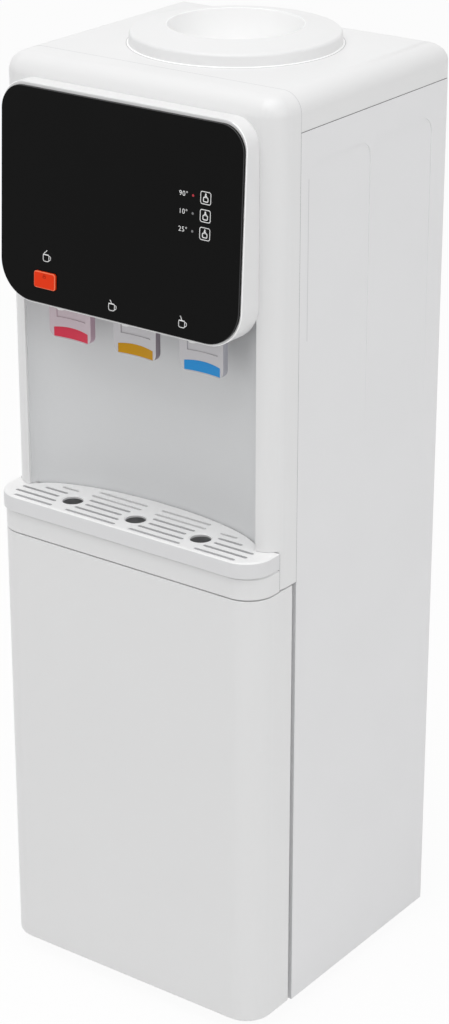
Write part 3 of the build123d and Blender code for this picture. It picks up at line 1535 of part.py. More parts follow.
outer_line_x = condenser_half + 19.0
drier_turn_z = drier_z + drier_length + 3 * line_bend
capillary_low_z = pan_top_z + 43.0
lift_z = frame_top_z - 60.0
line_routes = [
    # condenser outlet down into the bay and to the drier
    (line_r, [
        (-entry_x, condenser_y, run_z[0]), (-outer_line_x, condenser_y, run_z[0]),
        (-outer_line_x, condenser_y, drier_turn_z), (-outer_line_x, drier_y, drier_turn_z),
        (drier_x, drier_y, drier_turn_z), (drier_x, drier_y, drier_z + drier_length),
    ]),
    # compressor outlet up to the condenser
    (line_r, [
        (entry_x, condenser_y, run_z[-1]), (outer_line_x, condenser_y, run_z[-1]),
        (outer_line_x, condenser_y, port_z), (outer_line_x, compressor_y, port_z),
        (port_x, compressor_y, port_z),
    ]),
    # evaporator back to the compressor
    (line_r, [
        (coil_exit_x, tank_y, coil_low_z), (suction_x, tank_y, coil_low_z), (suction_x, tank_y, lift_z),
        (suction_x, bay_line_y, lift_z), (suction_x, bay_line_y, port_z - port_spacing),
        (suction_x, compressor_y, port_z - port_spacing), (port_x, compressor_y, port_z - port_spacing),
    ]),
    # capillary from the drier up to the evaporator
    (capillary_r, [
        (drier_x, drier_y, drier_z), (drier_x, drier_y, capillary_low_z),
        (capillary_x, drier_y, capillary_low_z), (capillary_x, drier_y, coil_top_z),
        (capillary_x, tank_y, coil_top_z), (coil_exit_x, tank_y, coil_top_z),
    ]),
]
with BuildPart() as refrigerant_lines:
    for radius, route_points in line_routes:
        add(swept_tube(route_points, radius, line_bend))
finish(refrigerant_lines, "refrigerant_lines")


# ======================= Panel screws =======================
with BuildPart() as panel_screws:
    with BuildSketch(facing_front(back_y)):
        with Locations(*screw_places):
            Circle(screw_head_r)
    extrude(amount=-screw_head)
    fillet(panel_screws.faces().group_by(Axis.Y)[-1].edges(), screw_head / 2)
    with BuildSketch(facing_front(back_y)):
        with Locations(*screw_places):
            Circle(screw_r)
    extrude(amount=screw_length)
finish(panel_screws, "panel_screws")
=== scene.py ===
"""Looks of a floor-standing water cooler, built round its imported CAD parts."""

import json
import logging
import math
from collections.abc import Callable, Sequence
from dataclasses import dataclass, field
from enum import Enum

import bpy
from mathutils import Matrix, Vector

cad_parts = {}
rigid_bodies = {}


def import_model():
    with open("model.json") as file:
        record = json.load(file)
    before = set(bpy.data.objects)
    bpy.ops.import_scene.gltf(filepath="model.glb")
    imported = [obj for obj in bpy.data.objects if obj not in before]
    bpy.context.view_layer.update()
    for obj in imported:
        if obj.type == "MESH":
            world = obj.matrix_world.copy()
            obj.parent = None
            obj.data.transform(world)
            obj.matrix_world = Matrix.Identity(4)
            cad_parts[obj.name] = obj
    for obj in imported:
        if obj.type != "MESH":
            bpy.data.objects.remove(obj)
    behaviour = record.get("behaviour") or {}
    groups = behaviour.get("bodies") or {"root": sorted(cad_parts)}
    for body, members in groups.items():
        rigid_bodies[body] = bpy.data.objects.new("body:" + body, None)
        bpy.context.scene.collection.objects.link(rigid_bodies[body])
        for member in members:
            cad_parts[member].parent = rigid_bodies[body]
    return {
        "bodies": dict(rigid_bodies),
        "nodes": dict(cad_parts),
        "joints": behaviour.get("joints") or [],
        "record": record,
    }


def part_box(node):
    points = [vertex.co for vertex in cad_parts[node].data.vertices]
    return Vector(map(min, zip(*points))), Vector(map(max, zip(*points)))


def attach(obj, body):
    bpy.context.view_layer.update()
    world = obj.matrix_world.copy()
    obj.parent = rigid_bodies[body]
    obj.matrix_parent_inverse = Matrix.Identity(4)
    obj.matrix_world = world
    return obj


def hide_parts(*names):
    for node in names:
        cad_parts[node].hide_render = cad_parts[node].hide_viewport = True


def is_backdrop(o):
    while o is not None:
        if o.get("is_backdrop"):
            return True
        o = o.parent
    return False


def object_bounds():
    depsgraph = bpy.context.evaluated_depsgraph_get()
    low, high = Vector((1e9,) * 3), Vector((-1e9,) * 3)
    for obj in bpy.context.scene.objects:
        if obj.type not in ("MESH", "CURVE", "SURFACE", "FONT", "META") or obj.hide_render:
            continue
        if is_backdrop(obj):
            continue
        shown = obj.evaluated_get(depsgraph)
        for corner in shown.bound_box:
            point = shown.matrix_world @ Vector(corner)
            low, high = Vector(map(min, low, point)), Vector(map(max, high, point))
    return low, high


log = logging.getLogger("water_cooler")

Colour = tuple[int, int, int]
Flat = tuple[float, float]
Point = tuple[float, float, float]
Choice = Callable[[Vector, Vector], bool]

# Where a colour mix node keeps its factor, its two colours and its result.
MIX_FACTOR, MIX_FIRST, MIX_SECOND, MIX_RESULT = 0, 6, 7, 2


class Body(Enum):
    """The bodies that new pieces ride on."""

    CABINET = "cabinet_body"
    CHILD_LOCK = "child_lock_body"


def linear(channel: int) -> float:
    """The linear value of an 8-bit sRGB channel."""
    value = channel / 255
    return value / 12.92 if value <= 0.04045 else ((value + 0.055) / 1.055) ** 2.4


def rgba(colour: Colour) -> tuple[float, float, float, float]:
    """An 8-bit sRGB colour as a linear colour with full alpha."""
    return (linear(colour[0]), linear(colour[1]), linear(colour[2]), 1.0)


def math_node(tree: bpy.types.NodeTree, operation: str) -> bpy.types.ShaderNodeMath:
    """Adds a math node.

    Args:
        tree: The node tree it is added to.
        operation: What it works out.

    Returns:
        The node.
    """
    node = tree.nodes.new("ShaderNodeMath")
    node.operation = operation
    return node


def add_object(name: str, data: bpy.types.ID) -> bpy.types.Object:
    """Adds an object to the scene.

    Args:
        name: The object's name.
        data: Its mesh, curve, light or camera.

    Returns:
        The object.
    """
    added = bpy.data.objects.new(name, data)
    bpy.context.scene.collection.objects.link(added)
    return added


class SurfaceGroups:
    """The shader node groups that all finishes share, each built once."""

    grain_detail: float = 3.0
    cloud_scale: float = 14.0
    cloud_low: float = 0.25
    cloud_high: float = 0.75
    drift_detail: float = 4.0

    def __init__(self) -> None:
        """Builds the groups."""
        self.moulded_grain = self._moulded_grain()
        self.colour_drift = self._colour_drift()

    @staticmethod
    def _new(name: str, inputs: Sequence[str], outputs: Sequence[str]) -> bpy.types.NodeTree:
        """Creates an empty group whose sockets are all floats.

        Args:
            name: The group's name.
            inputs: Names of its inputs.
            outputs: Names of its outputs.

        Returns:
            The node group.
        """
        group = bpy.data.node_groups.new(name, "ShaderNodeTree")
        for way, labels in (("INPUT", inputs), ("OUTPUT", outputs)):
            for label in labels:
                group.interface.new_socket(label, in_out=way, socket_type="NodeSocketFloat")
        return group

    def _moulded_grain(self) -> bpy.types.NodeTree:
        """A fine moulded or sprayed grain: its roughness and its height.

        Returns:
            The node group.
        """
        group = self._new(
            "moulded_grain", ("Grain", "Roughness", "Spread"), ("Roughness", "Height")
        )
        nodes, links = group.nodes, group.links
        inputs, outputs = nodes.new("NodeGroupInput"), nodes.new("NodeGroupOutput")
        place = nodes.new("ShaderNodeTexCoord")
        grain = nodes.new("ShaderNodeTexNoise")
        grain.inputs["Detail"].default_value = self.grain_detail
        cloud = nodes.new("ShaderNodeTexNoise")
        cloud.inputs["Scale"].default_value = self.cloud_scale
        span = nodes.new("ShaderNodeMapRange")
        span.interpolation_type = "SMOOTHERSTEP"
        span.inputs["From Min"].default_value = self.cloud_low
        span.inputs["From Max"].default_value = self.cloud_high
        low, high = math_node(group, "SUBTRACT"), math_node(group, "ADD")
        links.new(place.outputs["Object"], grain.inputs["Vector"])
        links.new(place.outputs["Object"], cloud.inputs["Vector"])
        links.new(inputs.outputs["Grain"], grain.inputs["Scale"])
        for node in (low, high):
            links.new(inputs.outputs["Roughness"], node.inputs[0])
            links.new(inputs.outputs["Spread"], node.inputs[1])
        links.new(cloud.outputs["Fac"], span.inputs["Value"])
        links.new(low.outputs[0], span.inputs["To Min"])
        links.new(high.outputs[0], span.inputs["To Max"])
        links.new(span.outputs["Result"], outputs.inputs["Roughness"])
        links.new(grain.outputs["Fac"], outputs.inputs["Height"])
        return group

    def _colour_drift(self) -> bpy.types.NodeTree:
        """A faint, slow variation of colour over a surface.

        Returns:
            The node group.
        """
        group = self._new("colour_drift", ("Scale", "Amount"), ("Factor",))
        nodes, links = group.nodes, group.links
        inputs, outputs = nodes.new("NodeGroupInput"), nodes.new("NodeGroupOutput")
        place = nodes.new("ShaderNodeTexCoord")
        cloud = nodes.new("ShaderNodeTexNoise")
        cloud.inputs["Detail"].default_value = self.drift_detail
        scaled = math_node(group, "MULTIPLY")
        links.new(place.outputs["Object"], cloud.inputs["Vector"])
        links.new(inputs.outputs["Scale"], cloud.inputs["Scale"])
        links.new(cloud.outputs["Fac"], scaled.inputs[0])
        links.new(inputs.outputs["Amount"], scaled.inputs[1])
        links.new(scaled.outputs[0], outputs.inputs["Factor"])
        return group


@dataclass(frozen=True)
class Finish:
    """One finish: its colours, how it shines and how fine its grain is."""

    name: str
    colour: Colour
    shade: Colour
    roughness: float = 0.35
    spread: float = 0.05
    metallic: float = 0.0
    specular: float = 0.5
    coat: float = 0.0
    coat_roughness: float = 0.12
    grain: float = 900.0
    relief: float = 0.02
    depth: float = 0.00005
    drift: float = 0.3
    drift_scale: float = 7.0
    glow: float = 0.0
    translucency: float = 0.0
    light_reach: float = 0.004

    def material(self, groups: SurfaceGroups) -> bpy.types.Material:
        """Builds the finish as a node material.

        Args:
            groups: The shared shader node groups.

        Returns:
            The material.
        """
        material = bpy.data.materials.new(self.name)
        material.use_nodes = True
        nodes, links = material.node_tree.nodes, material.node_tree.links
        shader = nodes["Principled BSDF"]
        shader.inputs["Metallic"].default_value = self.metallic
        shader.inputs["Specular IOR Level"].default_value = self.specular
        shader.inputs["Coat Weight"].default_value = self.coat
        shader.inputs["Coat Roughness"].default_value = self.coat_roughness
        shader.inputs["Subsurface Weight"].default_value = self.translucency
        shader.inputs["Subsurface Radius"].default_value = (self.light_reach,) * 3
        if self.glow:
            shader.inputs["Emission Color"].default_value = rgba(self.colour)
            shader.inputs["Emission Strength"].default_value = self.glow
        drift = nodes.new("ShaderNodeGroup")
        drift.node_tree = groups.colour_drift
        drift.inputs["Scale"].default_value = self.drift_scale
        drift.inputs["Amount"].default_value = self.drift
        mix = nodes.new("ShaderNodeMix")
        mix.data_type = "RGBA"
        mix.inputs[MIX_FIRST].default_value = rgba(self.colour)
        mix.inputs[MIX_SECOND].default_value = rgba(self.shade)
        links.new(drift.outputs["Factor"], mix.inputs[MIX_FACTOR])
        links.new(mix.outputs[MIX_RESULT], shader.inputs["Base Color"])
        grain = nodes.new("ShaderNodeGroup")
        grain.node_tree = groups.moulded_grain
        grain.inputs["Grain"].default_value = self.grain
        grain.inputs["Roughness"].default_value = self.roughness
        grain.inputs["Spread"].default_value = self.spread
        links.new(grain.outputs["Roughness"], shader.inputs["Roughness"])
        bump = nodes.new("ShaderNodeBump")
        bump.inputs["Strength"].default_value = self.relief
        bump.inputs["Distance"].default_value = self.depth
        links.new(grain.outputs["Height"], bump.inputs["Height"])
        links.new(bump.outputs["Normal"], shader.inputs["Normal"])
        return material


# The first group is named after the record's material slots, and the second dresses details,
# painted highlights and painted shade among them.
FINISHES = {
    finish.name: finish
    for finish in (
        Finish("painted_sheet", (237, 237, 238), (232, 232, 233), 0.38,
               relief=0.05, grain=650, depth=0.0002),
        Finish("white_shell", (236, 236, 236), (232, 232, 233), 0.36, 0.04),
        Finish("grey_niche", (224, 225, 226), (218, 219, 220), 0.42, relief=0.06, grain=1400),
        Finish("black_panel", (13, 13, 13), (15, 15, 15), 0.14, 0.03, specular=0.06),
        # Painted light: made whiter than the shells so the grate's top comes out brighter, while
        # its faces that don't face up take a darker copy, a painted shade.
        Finish("tray_plastic", (253, 253, 253), (250, 250, 250), 0.36, relief=0.04),
        Finish("liner_plastic", (236, 237, 238), (231, 232, 233), 0.42, relief=0.06),
        Finish("lever_plastic", (206, 204, 207), (196, 194, 198), 0.2, 0.04,
               coat=0.2, translucency=0.1),
        Finish("label_red", (222, 58, 84), (212, 50, 74), 0.36, specular=0.2),
        Finish("label_amber", (206, 150, 4), (196, 142, 2), 0.36, specular=0.2),
        Finish("label_blue", (44, 150, 222), (36, 142, 212), 0.36, specular=0.2),
        Finish("button_orange", (238, 56, 2), (228, 50, 2), 0.36, specular=0.15, relief=0.04),
        Finish("black_plastic", (27, 27, 28), (34, 34, 35), 0.46,
               relief=0.25, grain=1700, depth=0.0002),
        Finish("valve_plastic", (240, 240, 239), (235, 235, 234), 0.36, relief=0.05),
        Finish("stainless", (186, 188, 190), (172, 174, 177), 0.36, 0.07,
               metallic=1.0, grain=1300, relief=0.1),
        Finish("zinc_steel", (176, 179, 181), (156, 160, 164), 0.4, 0.11,
               metallic=1.0, drift=0.9, drift_scale=60),
        Finish("black_steel", (24, 25, 27), (32, 33, 35), 0.4, 0.08,
               relief=0.12, grain=800, depth=0.0003),
        Finish("copper_line", (190, 118, 76), (156, 92, 58), 0.36, 0.07,
               metallic=1.0, drift=0.8, drift_scale=40),
        Finish("silicone", (226, 225, 218), (220, 219, 210), 0.42, translucency=0.3),
        Finish("black_rubber", (30, 30, 31), (40, 40, 41), 0.72,
               relief=0.3, grain=1200, depth=0.0003),
        Finish("foam", (238, 234, 222), (226, 220, 204), 0.85,
               relief=0.7, grain=500, depth=0.0008),
        Finish("board_green", (30, 104, 62), (24, 92, 54), 0.35, coat=0.3),

        # Painted red light from the hot label, on the hot lever.
        Finish("lever_red_light_painted", (208, 192, 199), (198, 178, 188), 0.2, 0.04,
               coat=0.2, translucency=0.1),
        # Painted highlight on the face plate's chamfer.
        Finish("plate_chamfer_highlight", (58, 58, 59), (50, 50, 51), 0.34, 0.03, specular=0.25),
        Finish("seam_shadow", (112, 112, 114), (100, 100, 102), 0.7, specular=0.1),
        Finish("arch_shade", (208, 208, 209), (200, 200, 201), 0.6, specular=0.1),
        Finish("field_shade", (216, 216, 217), (208, 208, 209), 0.6, specular=0.1),
        # Painted shade on the grate's front and its faces that don't face up.
        Finish("grate_front_shade", (229, 229, 230), (225, 225, 226), 0.4),
        # Painted light that brightens the shaded inside of the bottle bowl.
        Finish("bowl_painted_light", (250, 250, 250), (248, 248, 248), 0.4),
        # Painted highlight that also glows a little, on the bezel's inner edge and the bead round
        # the bottle ring.
        Finish("painted_edge_highlight", (255, 255, 255), (252, 252, 252), 0.36, glow=0.1),
        Finish("basin_inside", (205, 205, 206), (198, 198, 200), 0.5),
        # Painted highlight on the child lock button's rim.
        Finish("button_rim_highlight", (255, 128, 92), (250, 116, 80), 0.36, specular=0.2),
        Finish("button_mark", (176, 30, 0), (166, 26, 0), 0.4, specular=0.1),
        # Painted shade on the levers' sides, the rosy one also with red light from the hot label.
        Finish("lever_side_shade_rosy", (192, 164, 178), (184, 154, 170), 0.36, specular=0.3),
        Finish("lever_side_shade_dusk", (142, 132, 140), (132, 122, 132), 0.36, specular=0.3),
        Finish("lever_side_shade_cool", (176, 176, 184), (168, 168, 176), 0.36, specular=0.3),
        Finish("panel_print", (238, 238, 238), (228, 228, 228), 0.45),
        Finish("lamp_red", (170, 20, 40), (150, 14, 32), 0.36, glow=0.15),
        Finish("lamp_off", (120, 120, 122), (104, 104, 106), 0.36),
    )
}


class Workshop:
    """Keeps the frame, the materials and the ways in which pieces are finished.

    Lengths are in metres and angles in degrees.
    """

    weld_distance: float = 0.000002
    merge_angle: float = 0.05
    smooth_margin: float = 8.0

    def __init__(self) -> None:
        """Loads the frame and builds every material."""
        self.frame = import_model()
        self.cad_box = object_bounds()
        groups = SurfaceGroups()
        self.materials = {name: finish.material(groups) for name, finish in FINISHES.items()}
        record = self.frame["record"]
        self.slots = {part["node"]: part["material_slot"] for part in record["subparts"]}
        self.body_of = {
            node: body
            for body, members in record["behaviour"]["bodies"].items()
            for node in members
        }

    @staticmethod
    def deselect() -> None:
        """Leaves object mode with nothing selected."""
        if bpy.context.object and bpy.context.object.mode != "OBJECT":
            bpy.ops.object.mode_set(mode="OBJECT")
        bpy.ops.object.select_all(action="DESELECT")

    def activate(self, piece: bpy.types.Object) -> None:
        """Selects one piece alone.

        Args:
            piece: The piece to select.
        """
        self.deselect()
        bpy.context.view_layer.objects.active = piece
        piece.select_set(True)

    def dress_nodes(self) -> None:
        """Gives every CAD node the finish of its material slot."""
        for name, node in self.frame["nodes"].items():
            node.data.materials.clear()
            node.data.materials.append(self.materials[self.slots[name]])

    def finish_copy(
        self,
        name: str,
        bevel: float = 0.0,
        angle: float = 30.0,
        segments: int = 2,
        finish: str = "",
        kept: float = 1.0,
    ) -> bpy.types.Object:
        """Replaces a node by a copy with softened edges and smooth curves.

        Args:
            name: The CAD node.
            bevel: Width of the softened edges in metres, or 0 for none.
            angle: Edges that turn by more than this many degrees are softened, and those
                that turn by a little more still stay sharp where they are shaded.
            segments: Segments across a softened edge.
            finish: The finish, where it isn't the slot's own.
            kept: Share of a very fine mesh's triangles that is kept.

        Returns:
            The copy.
        """
        mesh = self.frame["nodes"][name].data.copy()
        self.deselect()
        piece = add_object(f"{name}_finished", mesh)
        self.activate(piece)
        bpy.ops.object.mode_set(mode="EDIT")
        bpy.ops.mesh.select_all(action="SELECT")
        bpy.ops.mesh.customdata_custom_splitnormals_clear()
        bpy.ops.mesh.remove_doubles(threshold=self.weld_distance)
        bpy.ops.mesh.dissolve_limited(
            angle_limit=math.radians(self.merge_angle), delimit={"NORMAL"}
        )
        bpy.ops.object.mode_set(mode="OBJECT")
        if kept < 1.0:
            modifier = piece.modifiers.new("thinned", "DECIMATE")
            modifier.ratio = kept
            bpy.ops.object.modifier_apply(modifier=modifier.name)
        if bevel:
            modifier = piece.modifiers.new("softened", "BEVEL")
            modifier.width = bevel
            modifier.segments = segments
            modifier.limit_method = "ANGLE"
            modifier.angle_limit = math.radians(angle)
            modifier.miter_outer = "MITER_ARC"
            bpy.ops.object.modifier_apply(modifier=modifier.name)
        bpy.ops.object.shade_smooth_by_angle(angle=math.radians(angle + self.smooth_margin))
        modifier = piece.modifiers.new("flats_kept_flat", "WEIGHTED_NORMAL")
        modifier.keep_sharp = True
        bpy.ops.object.modifier_apply(modifier=modifier.name)
        self.settle(piece, self.body_of[name], self.slots[name], finish)
        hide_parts(name)
        return piece

    def settle(self, piece: bpy.types.Object, body: str, slot: str, finish: str = "") -> None:
        """Gives a piece its finish and the body it rides on.

        Args:
            piece: The piece.
            body: The body's name.
            slot: The record's material slot.
            finish: The finish, where it isn't the slot's own.
        """
        piece.data.materials.clear()
        piece.data.materials.append(self.materials[finish or slot])
        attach(piece, body)
        log.info("%s: %d faces on %s", piece.name, len(piece.data.polygons), body)

    def accent(self, piece: bpy.types.Object, finish: str, chosen: Choice) -> None:
        """Gives some of a piece's faces a second finish.

        Args:
            piece: The piece.
            finish: The second finish.
            chosen: Says from a face's normal and middle whether it gets it.
        """
        piece.data.materials.append(self.materials[finish])
        index = len(piece.data.materials) - 1
        for face in piece.data.polygons:
            if chosen(face.normal, face.center):
                face.material_index = index

    def as_mesh(self, name: str, curve: bpy.types.Curve) -> bpy.types.Object:
        """Adds a curve to the scene as a mesh.

        Args:
            name: The piece's name.
            curve: The curve.

        Returns:
            The piece.
        """
        self.deselect()
        self.activate(add_object(name, curve))
        bpy.ops.object.convert(target="MESH")
        return bpy.context.object

    @staticmethod
    def draw(curve: bpy.types.Curve, points: Sequence[Point]) -> None:
        """Adds straight lines through points to a curve.

        Args:
            curve: The curve.
            points: The corners of the lines.
        """
        line = curve.splines.new("POLY")
        line.points.add(len(points) - 1)
        for corner, place in zip(line.points, points):
            corner.co = (*place, 1.0)

    def stroke(self, name: str, points: Sequence[Point], width: float) -> bpy.types.Object:
        """A fine round line through points.

        Args:
            name: The line's name.
            points: Its corners.
            width: Its width.

        Returns:
            The line as a mesh.
        """
        curve = bpy.data.curves.new(name, "CURVE")
        curve.dimensions = "3D"
        curve.bevel_depth = width / 2
        curve.bevel_resolution = 1
        curve.use_fill_caps = True
        self.draw(curve, points)
        return self.as_mesh(name, curve)

    def apply_place(self, piece: bpy.types.Object) -> None:
        """Moves a piece's place into its mesh."""
        self.activate(piece)
        bpy.ops.object.transform_apply(location=True, rotation=True, scale=True)

    def join(self, parts: Sequence[bpy.types.Object], name: str) -> bpy.types.Object:
        """Joins several meshes into one.

        Args:
            parts: The meshes.
            name: The name of the joined piece.

        Returns:
            The joined piece.
        """
        self.activate(parts[0])
        for part in parts:
            part.select_set(True)
        bpy.ops.object.join()
        parts[0].name = parts[0].data.name = name
        return parts[0]


@dataclass
class CabinetLooks:
    """The sheet-metal body, the door, the plastic shells and the machine behind them."""

    shop: Workshop
    soft_edge: float = 0.0006
    soft_nodes: tuple[str, ...] = (
        "front_shell", "top_cover", "door_panel", "niche_panel", "storage_liner", "door_liner",
        "bottle_probe", "side_panel_left", "side_panel_right",
    )
    smooth_nodes: tuple[str, ...] = (
        "back_panel", "base_pan", "feet", "lower_hinge_bracket", "door_strike", "door_catch",
        "compressor", "compressor_mounts", "condenser_tube", "condenser_wires",
        "condenser_brackets", "filter_drier", "refrigerant_lines", "drain_spout", "drain_cap",
        "panel_screws", "drain_hose", "cold_tank_lid",
    )
    coil_kept: float = 0.2
    coil_angle: float = 60.0

    half_width: float = 0.155
    top_z: float = 0.933
    cover_z: float = 0.8975
    cover_round: float = 0.019
    arch_steps: int = 12
    door_top_z: float = 0.470
    seam_width: float = 0.0006
    seam_lift: float = 0.00003
    seam_y: float = -0.0964
    seam_back_y: float = 0.1415
    field_edge_y: float = -0.0839
    field_top_z: float = 0.8535
    field_reach: float = 0.15
    field_edge_width: float = 0.0009

    ring_radius: float = 0.0996
    ring_centre_y: float = 0.021
    # ring_bead is a painted highlight and ring_groove a painted shade line.
    ring_lines: tuple[tuple[str, float, float, str], ...] = (
        ("ring_bead", 0.0, 0.0009, "painted_edge_highlight"),
        ("ring_groove", 0.0014, 0.0003, "arch_shade"),
    )
    ring_segments: int = 128
    ring_section_segments: int = 8
    bowl_facing: float = 0.004

    tray_end_y: float = -0.1231
    tray_bottom_z: float = 0.4715
    tray_top_z: float = 0.509
    lip_upwards: float = 0.45
    basin_middle: Point = (0.0, -0.125, 0.495)
    basin_facing: float = 0.001
    basin_low_z: float = 0.4745
    basin_high_z: float = 0.5065

    def ribbon(
        self,
        name: str,
        points: Sequence[Flat],
        width: float,
        place: Point,
        upright: bool = True,
        finish: str = "seam_shadow",
    ) -> None:
        """Lays a flat ribbon on the skin, where two parts meet or a pressed field ends.

        Args:
            name: The ribbon's name.
            points: Its corners, across and along.
            width: Its width, square to the plane of its corners.
            place: Where the drawing's origin goes.
            upright: Whether its corners are in an upright plane, not in a level one.
            finish: Its finish.
        """
        curve = bpy.data.curves.new(name, "CURVE")
        curve.dimensions = "2D"
        curve.fill_mode = "NONE"
        curve.extrude = width / 2
        self.shop.draw(curve, [(across, along, 0.0) for across, along in points])
        piece = self.shop.as_mesh(name, curve)
        piece.rotation_euler = (math.radians(90) if upright else 0.0, 0.0, 0.0)
        piece.location = place
        self.shop.apply_place(piece)
        self.shop.settle(piece, Body.CABINET.value, self.shop.slots["side_panel_right"], finish)

    def arch(self, skin: float) -> list[Flat]:
        """The line over the cover from one side to the other, just off its skin.

        Args:
            skin: How far out the line runs on the sides.

        Returns:
            Its corners, across and up.
        """
        top = self.top_z + self.seam_lift
        centre_x, centre_z = self.half_width - self.cover_round, self.top_z - self.cover_round
        half = [(skin, self.cover_z)]
        for step in range(self.arch_steps + 1):
            turn = math.radians(90 * step / self.arch_steps)
            x = centre_x + (skin - centre_x) * math.cos(turn)
            half.append((x, centre_z + (top - centre_z) * math.sin(turn)))
        return half + [(-x, z) for x, z in reversed(half)]

    def seams(self) -> None:
        """The joints of the cover, the front shell, the tray and the sides, and field edges."""
        skin = self.half_width + self.seam_lift
        arch, thin = self.arch(skin), self.seam_width / 2
        self.ribbon("cover_seam", arch, self.seam_width, (0, self.seam_y, 0), finish="arch_shade")
        for side, word in ((1, "right"), (-1, "left")):
            x = side * skin
            self.ribbon(
                f"side_seam_{word}", [(x, self.seam_y), (x, self.seam_back_y)],
                self.seam_width, (0, 0, self.cover_z), upright=False,
            )
            self.ribbon(
                f"shell_seam_{word}", [(x, self.door_top_z), (x, self.cover_z)],
                thin, (0, self.seam_y, 0),
            )
            self.ribbon(
                f"tray_seam_{word}", [(x, self.tray_bottom_z), (x, self.tray_top_z)],
                thin, (0, self.tray_end_y, 0),
            )
            self.ribbon(
                f"field_edge_{word}_0",
                [(x, self.field_top_z - self.field_reach), (x, self.field_top_z)],
                self.field_edge_width, (0, self.field_edge_y, 0), finish="field_shade",
            )

    def ring_bead(self) -> None:
        """A bead of painted highlight and a fine line of painted shade round the foot of the
        bottle ring.
        """
        for name, outwards, section, finish in self.ring_lines:
            self.shop.deselect()
            bpy.ops.mesh.primitive_torus_add(
                location=(0, self.ring_centre_y, self.top_z),
                major_radius=self.ring_radius + outwards, minor_radius=section,
                major_segments=self.ring_segments, minor_segments=self.ring_section_segments,
            )
            bead = bpy.context.object
            bead.name = bead.data.name = name
            bpy.ops.object.mode_set(mode="EDIT")
            bpy.ops.mesh.bisect(
                plane_co=(0, 0, self.top_z - section / 4), plane_no=(0, 0, 1),
                clear_inner=True, use_fill=False,
            )
            bpy.ops.object.mode_set(mode="OBJECT")
            self.shop.apply_place(bead)
            bpy.ops.object.shade_smooth()
            self.shop.settle(bead, Body.CABINET.value, self.shop.slots["top_cover"], finish)

    def seat_and_tray(self) -> None:
        """Finishes the bottle seat with painted light in its bowl, the grate with painted shade
        on its front, and the tray.
        """
        seat = self.shop.finish_copy("bottle_seat", self.soft_edge)
        axis, level = Vector((0, self.ring_centre_y, 0)), Vector((1, 1, 0))
        # Painted light on the bowl's inner faces, which face the ring's axis.
        self.shop.accent(
            seat, "bowl_painted_light",
            lambda normal, middle: normal.dot((axis - middle) * level) > self.bowl_facing,
        )
        grate = self.shop.finish_copy("drip_grate", self.soft_edge)
        # Painted shade on the grate's faces that don't face up, in front of the tray's ends.
        self.shop.accent(
            grate, "grate_front_shade",
            lambda normal, middle: normal.z < self.lip_upwards and middle.y < self.tray_end_y,
        )
        tray = self.shop.finish_copy("drip_tray", finish="white_shell")
        heart = Vector(self.basin_middle)
        self.shop.accent(
            tray, "basin_inside",
            lambda normal, middle: normal.dot(heart - middle) > self.basin_facing
            and self.basin_low_z < middle.z < self.basin_high_z,
        )

    def build(self) -> None:
        """Softens the edges of the shells, smooths the rest and adds the fine lines."""
        for name in self.soft_nodes:
            self.shop.finish_copy(name, self.soft_edge)
        self.seat_and_tray()
        for name in self.smooth_nodes:
            self.shop.finish_copy(name)
        self.shop.finish_copy("evaporator_coil", angle=self.coil_angle, kept=self.coil_kept)
        self.seams()
        self.ring_bead()


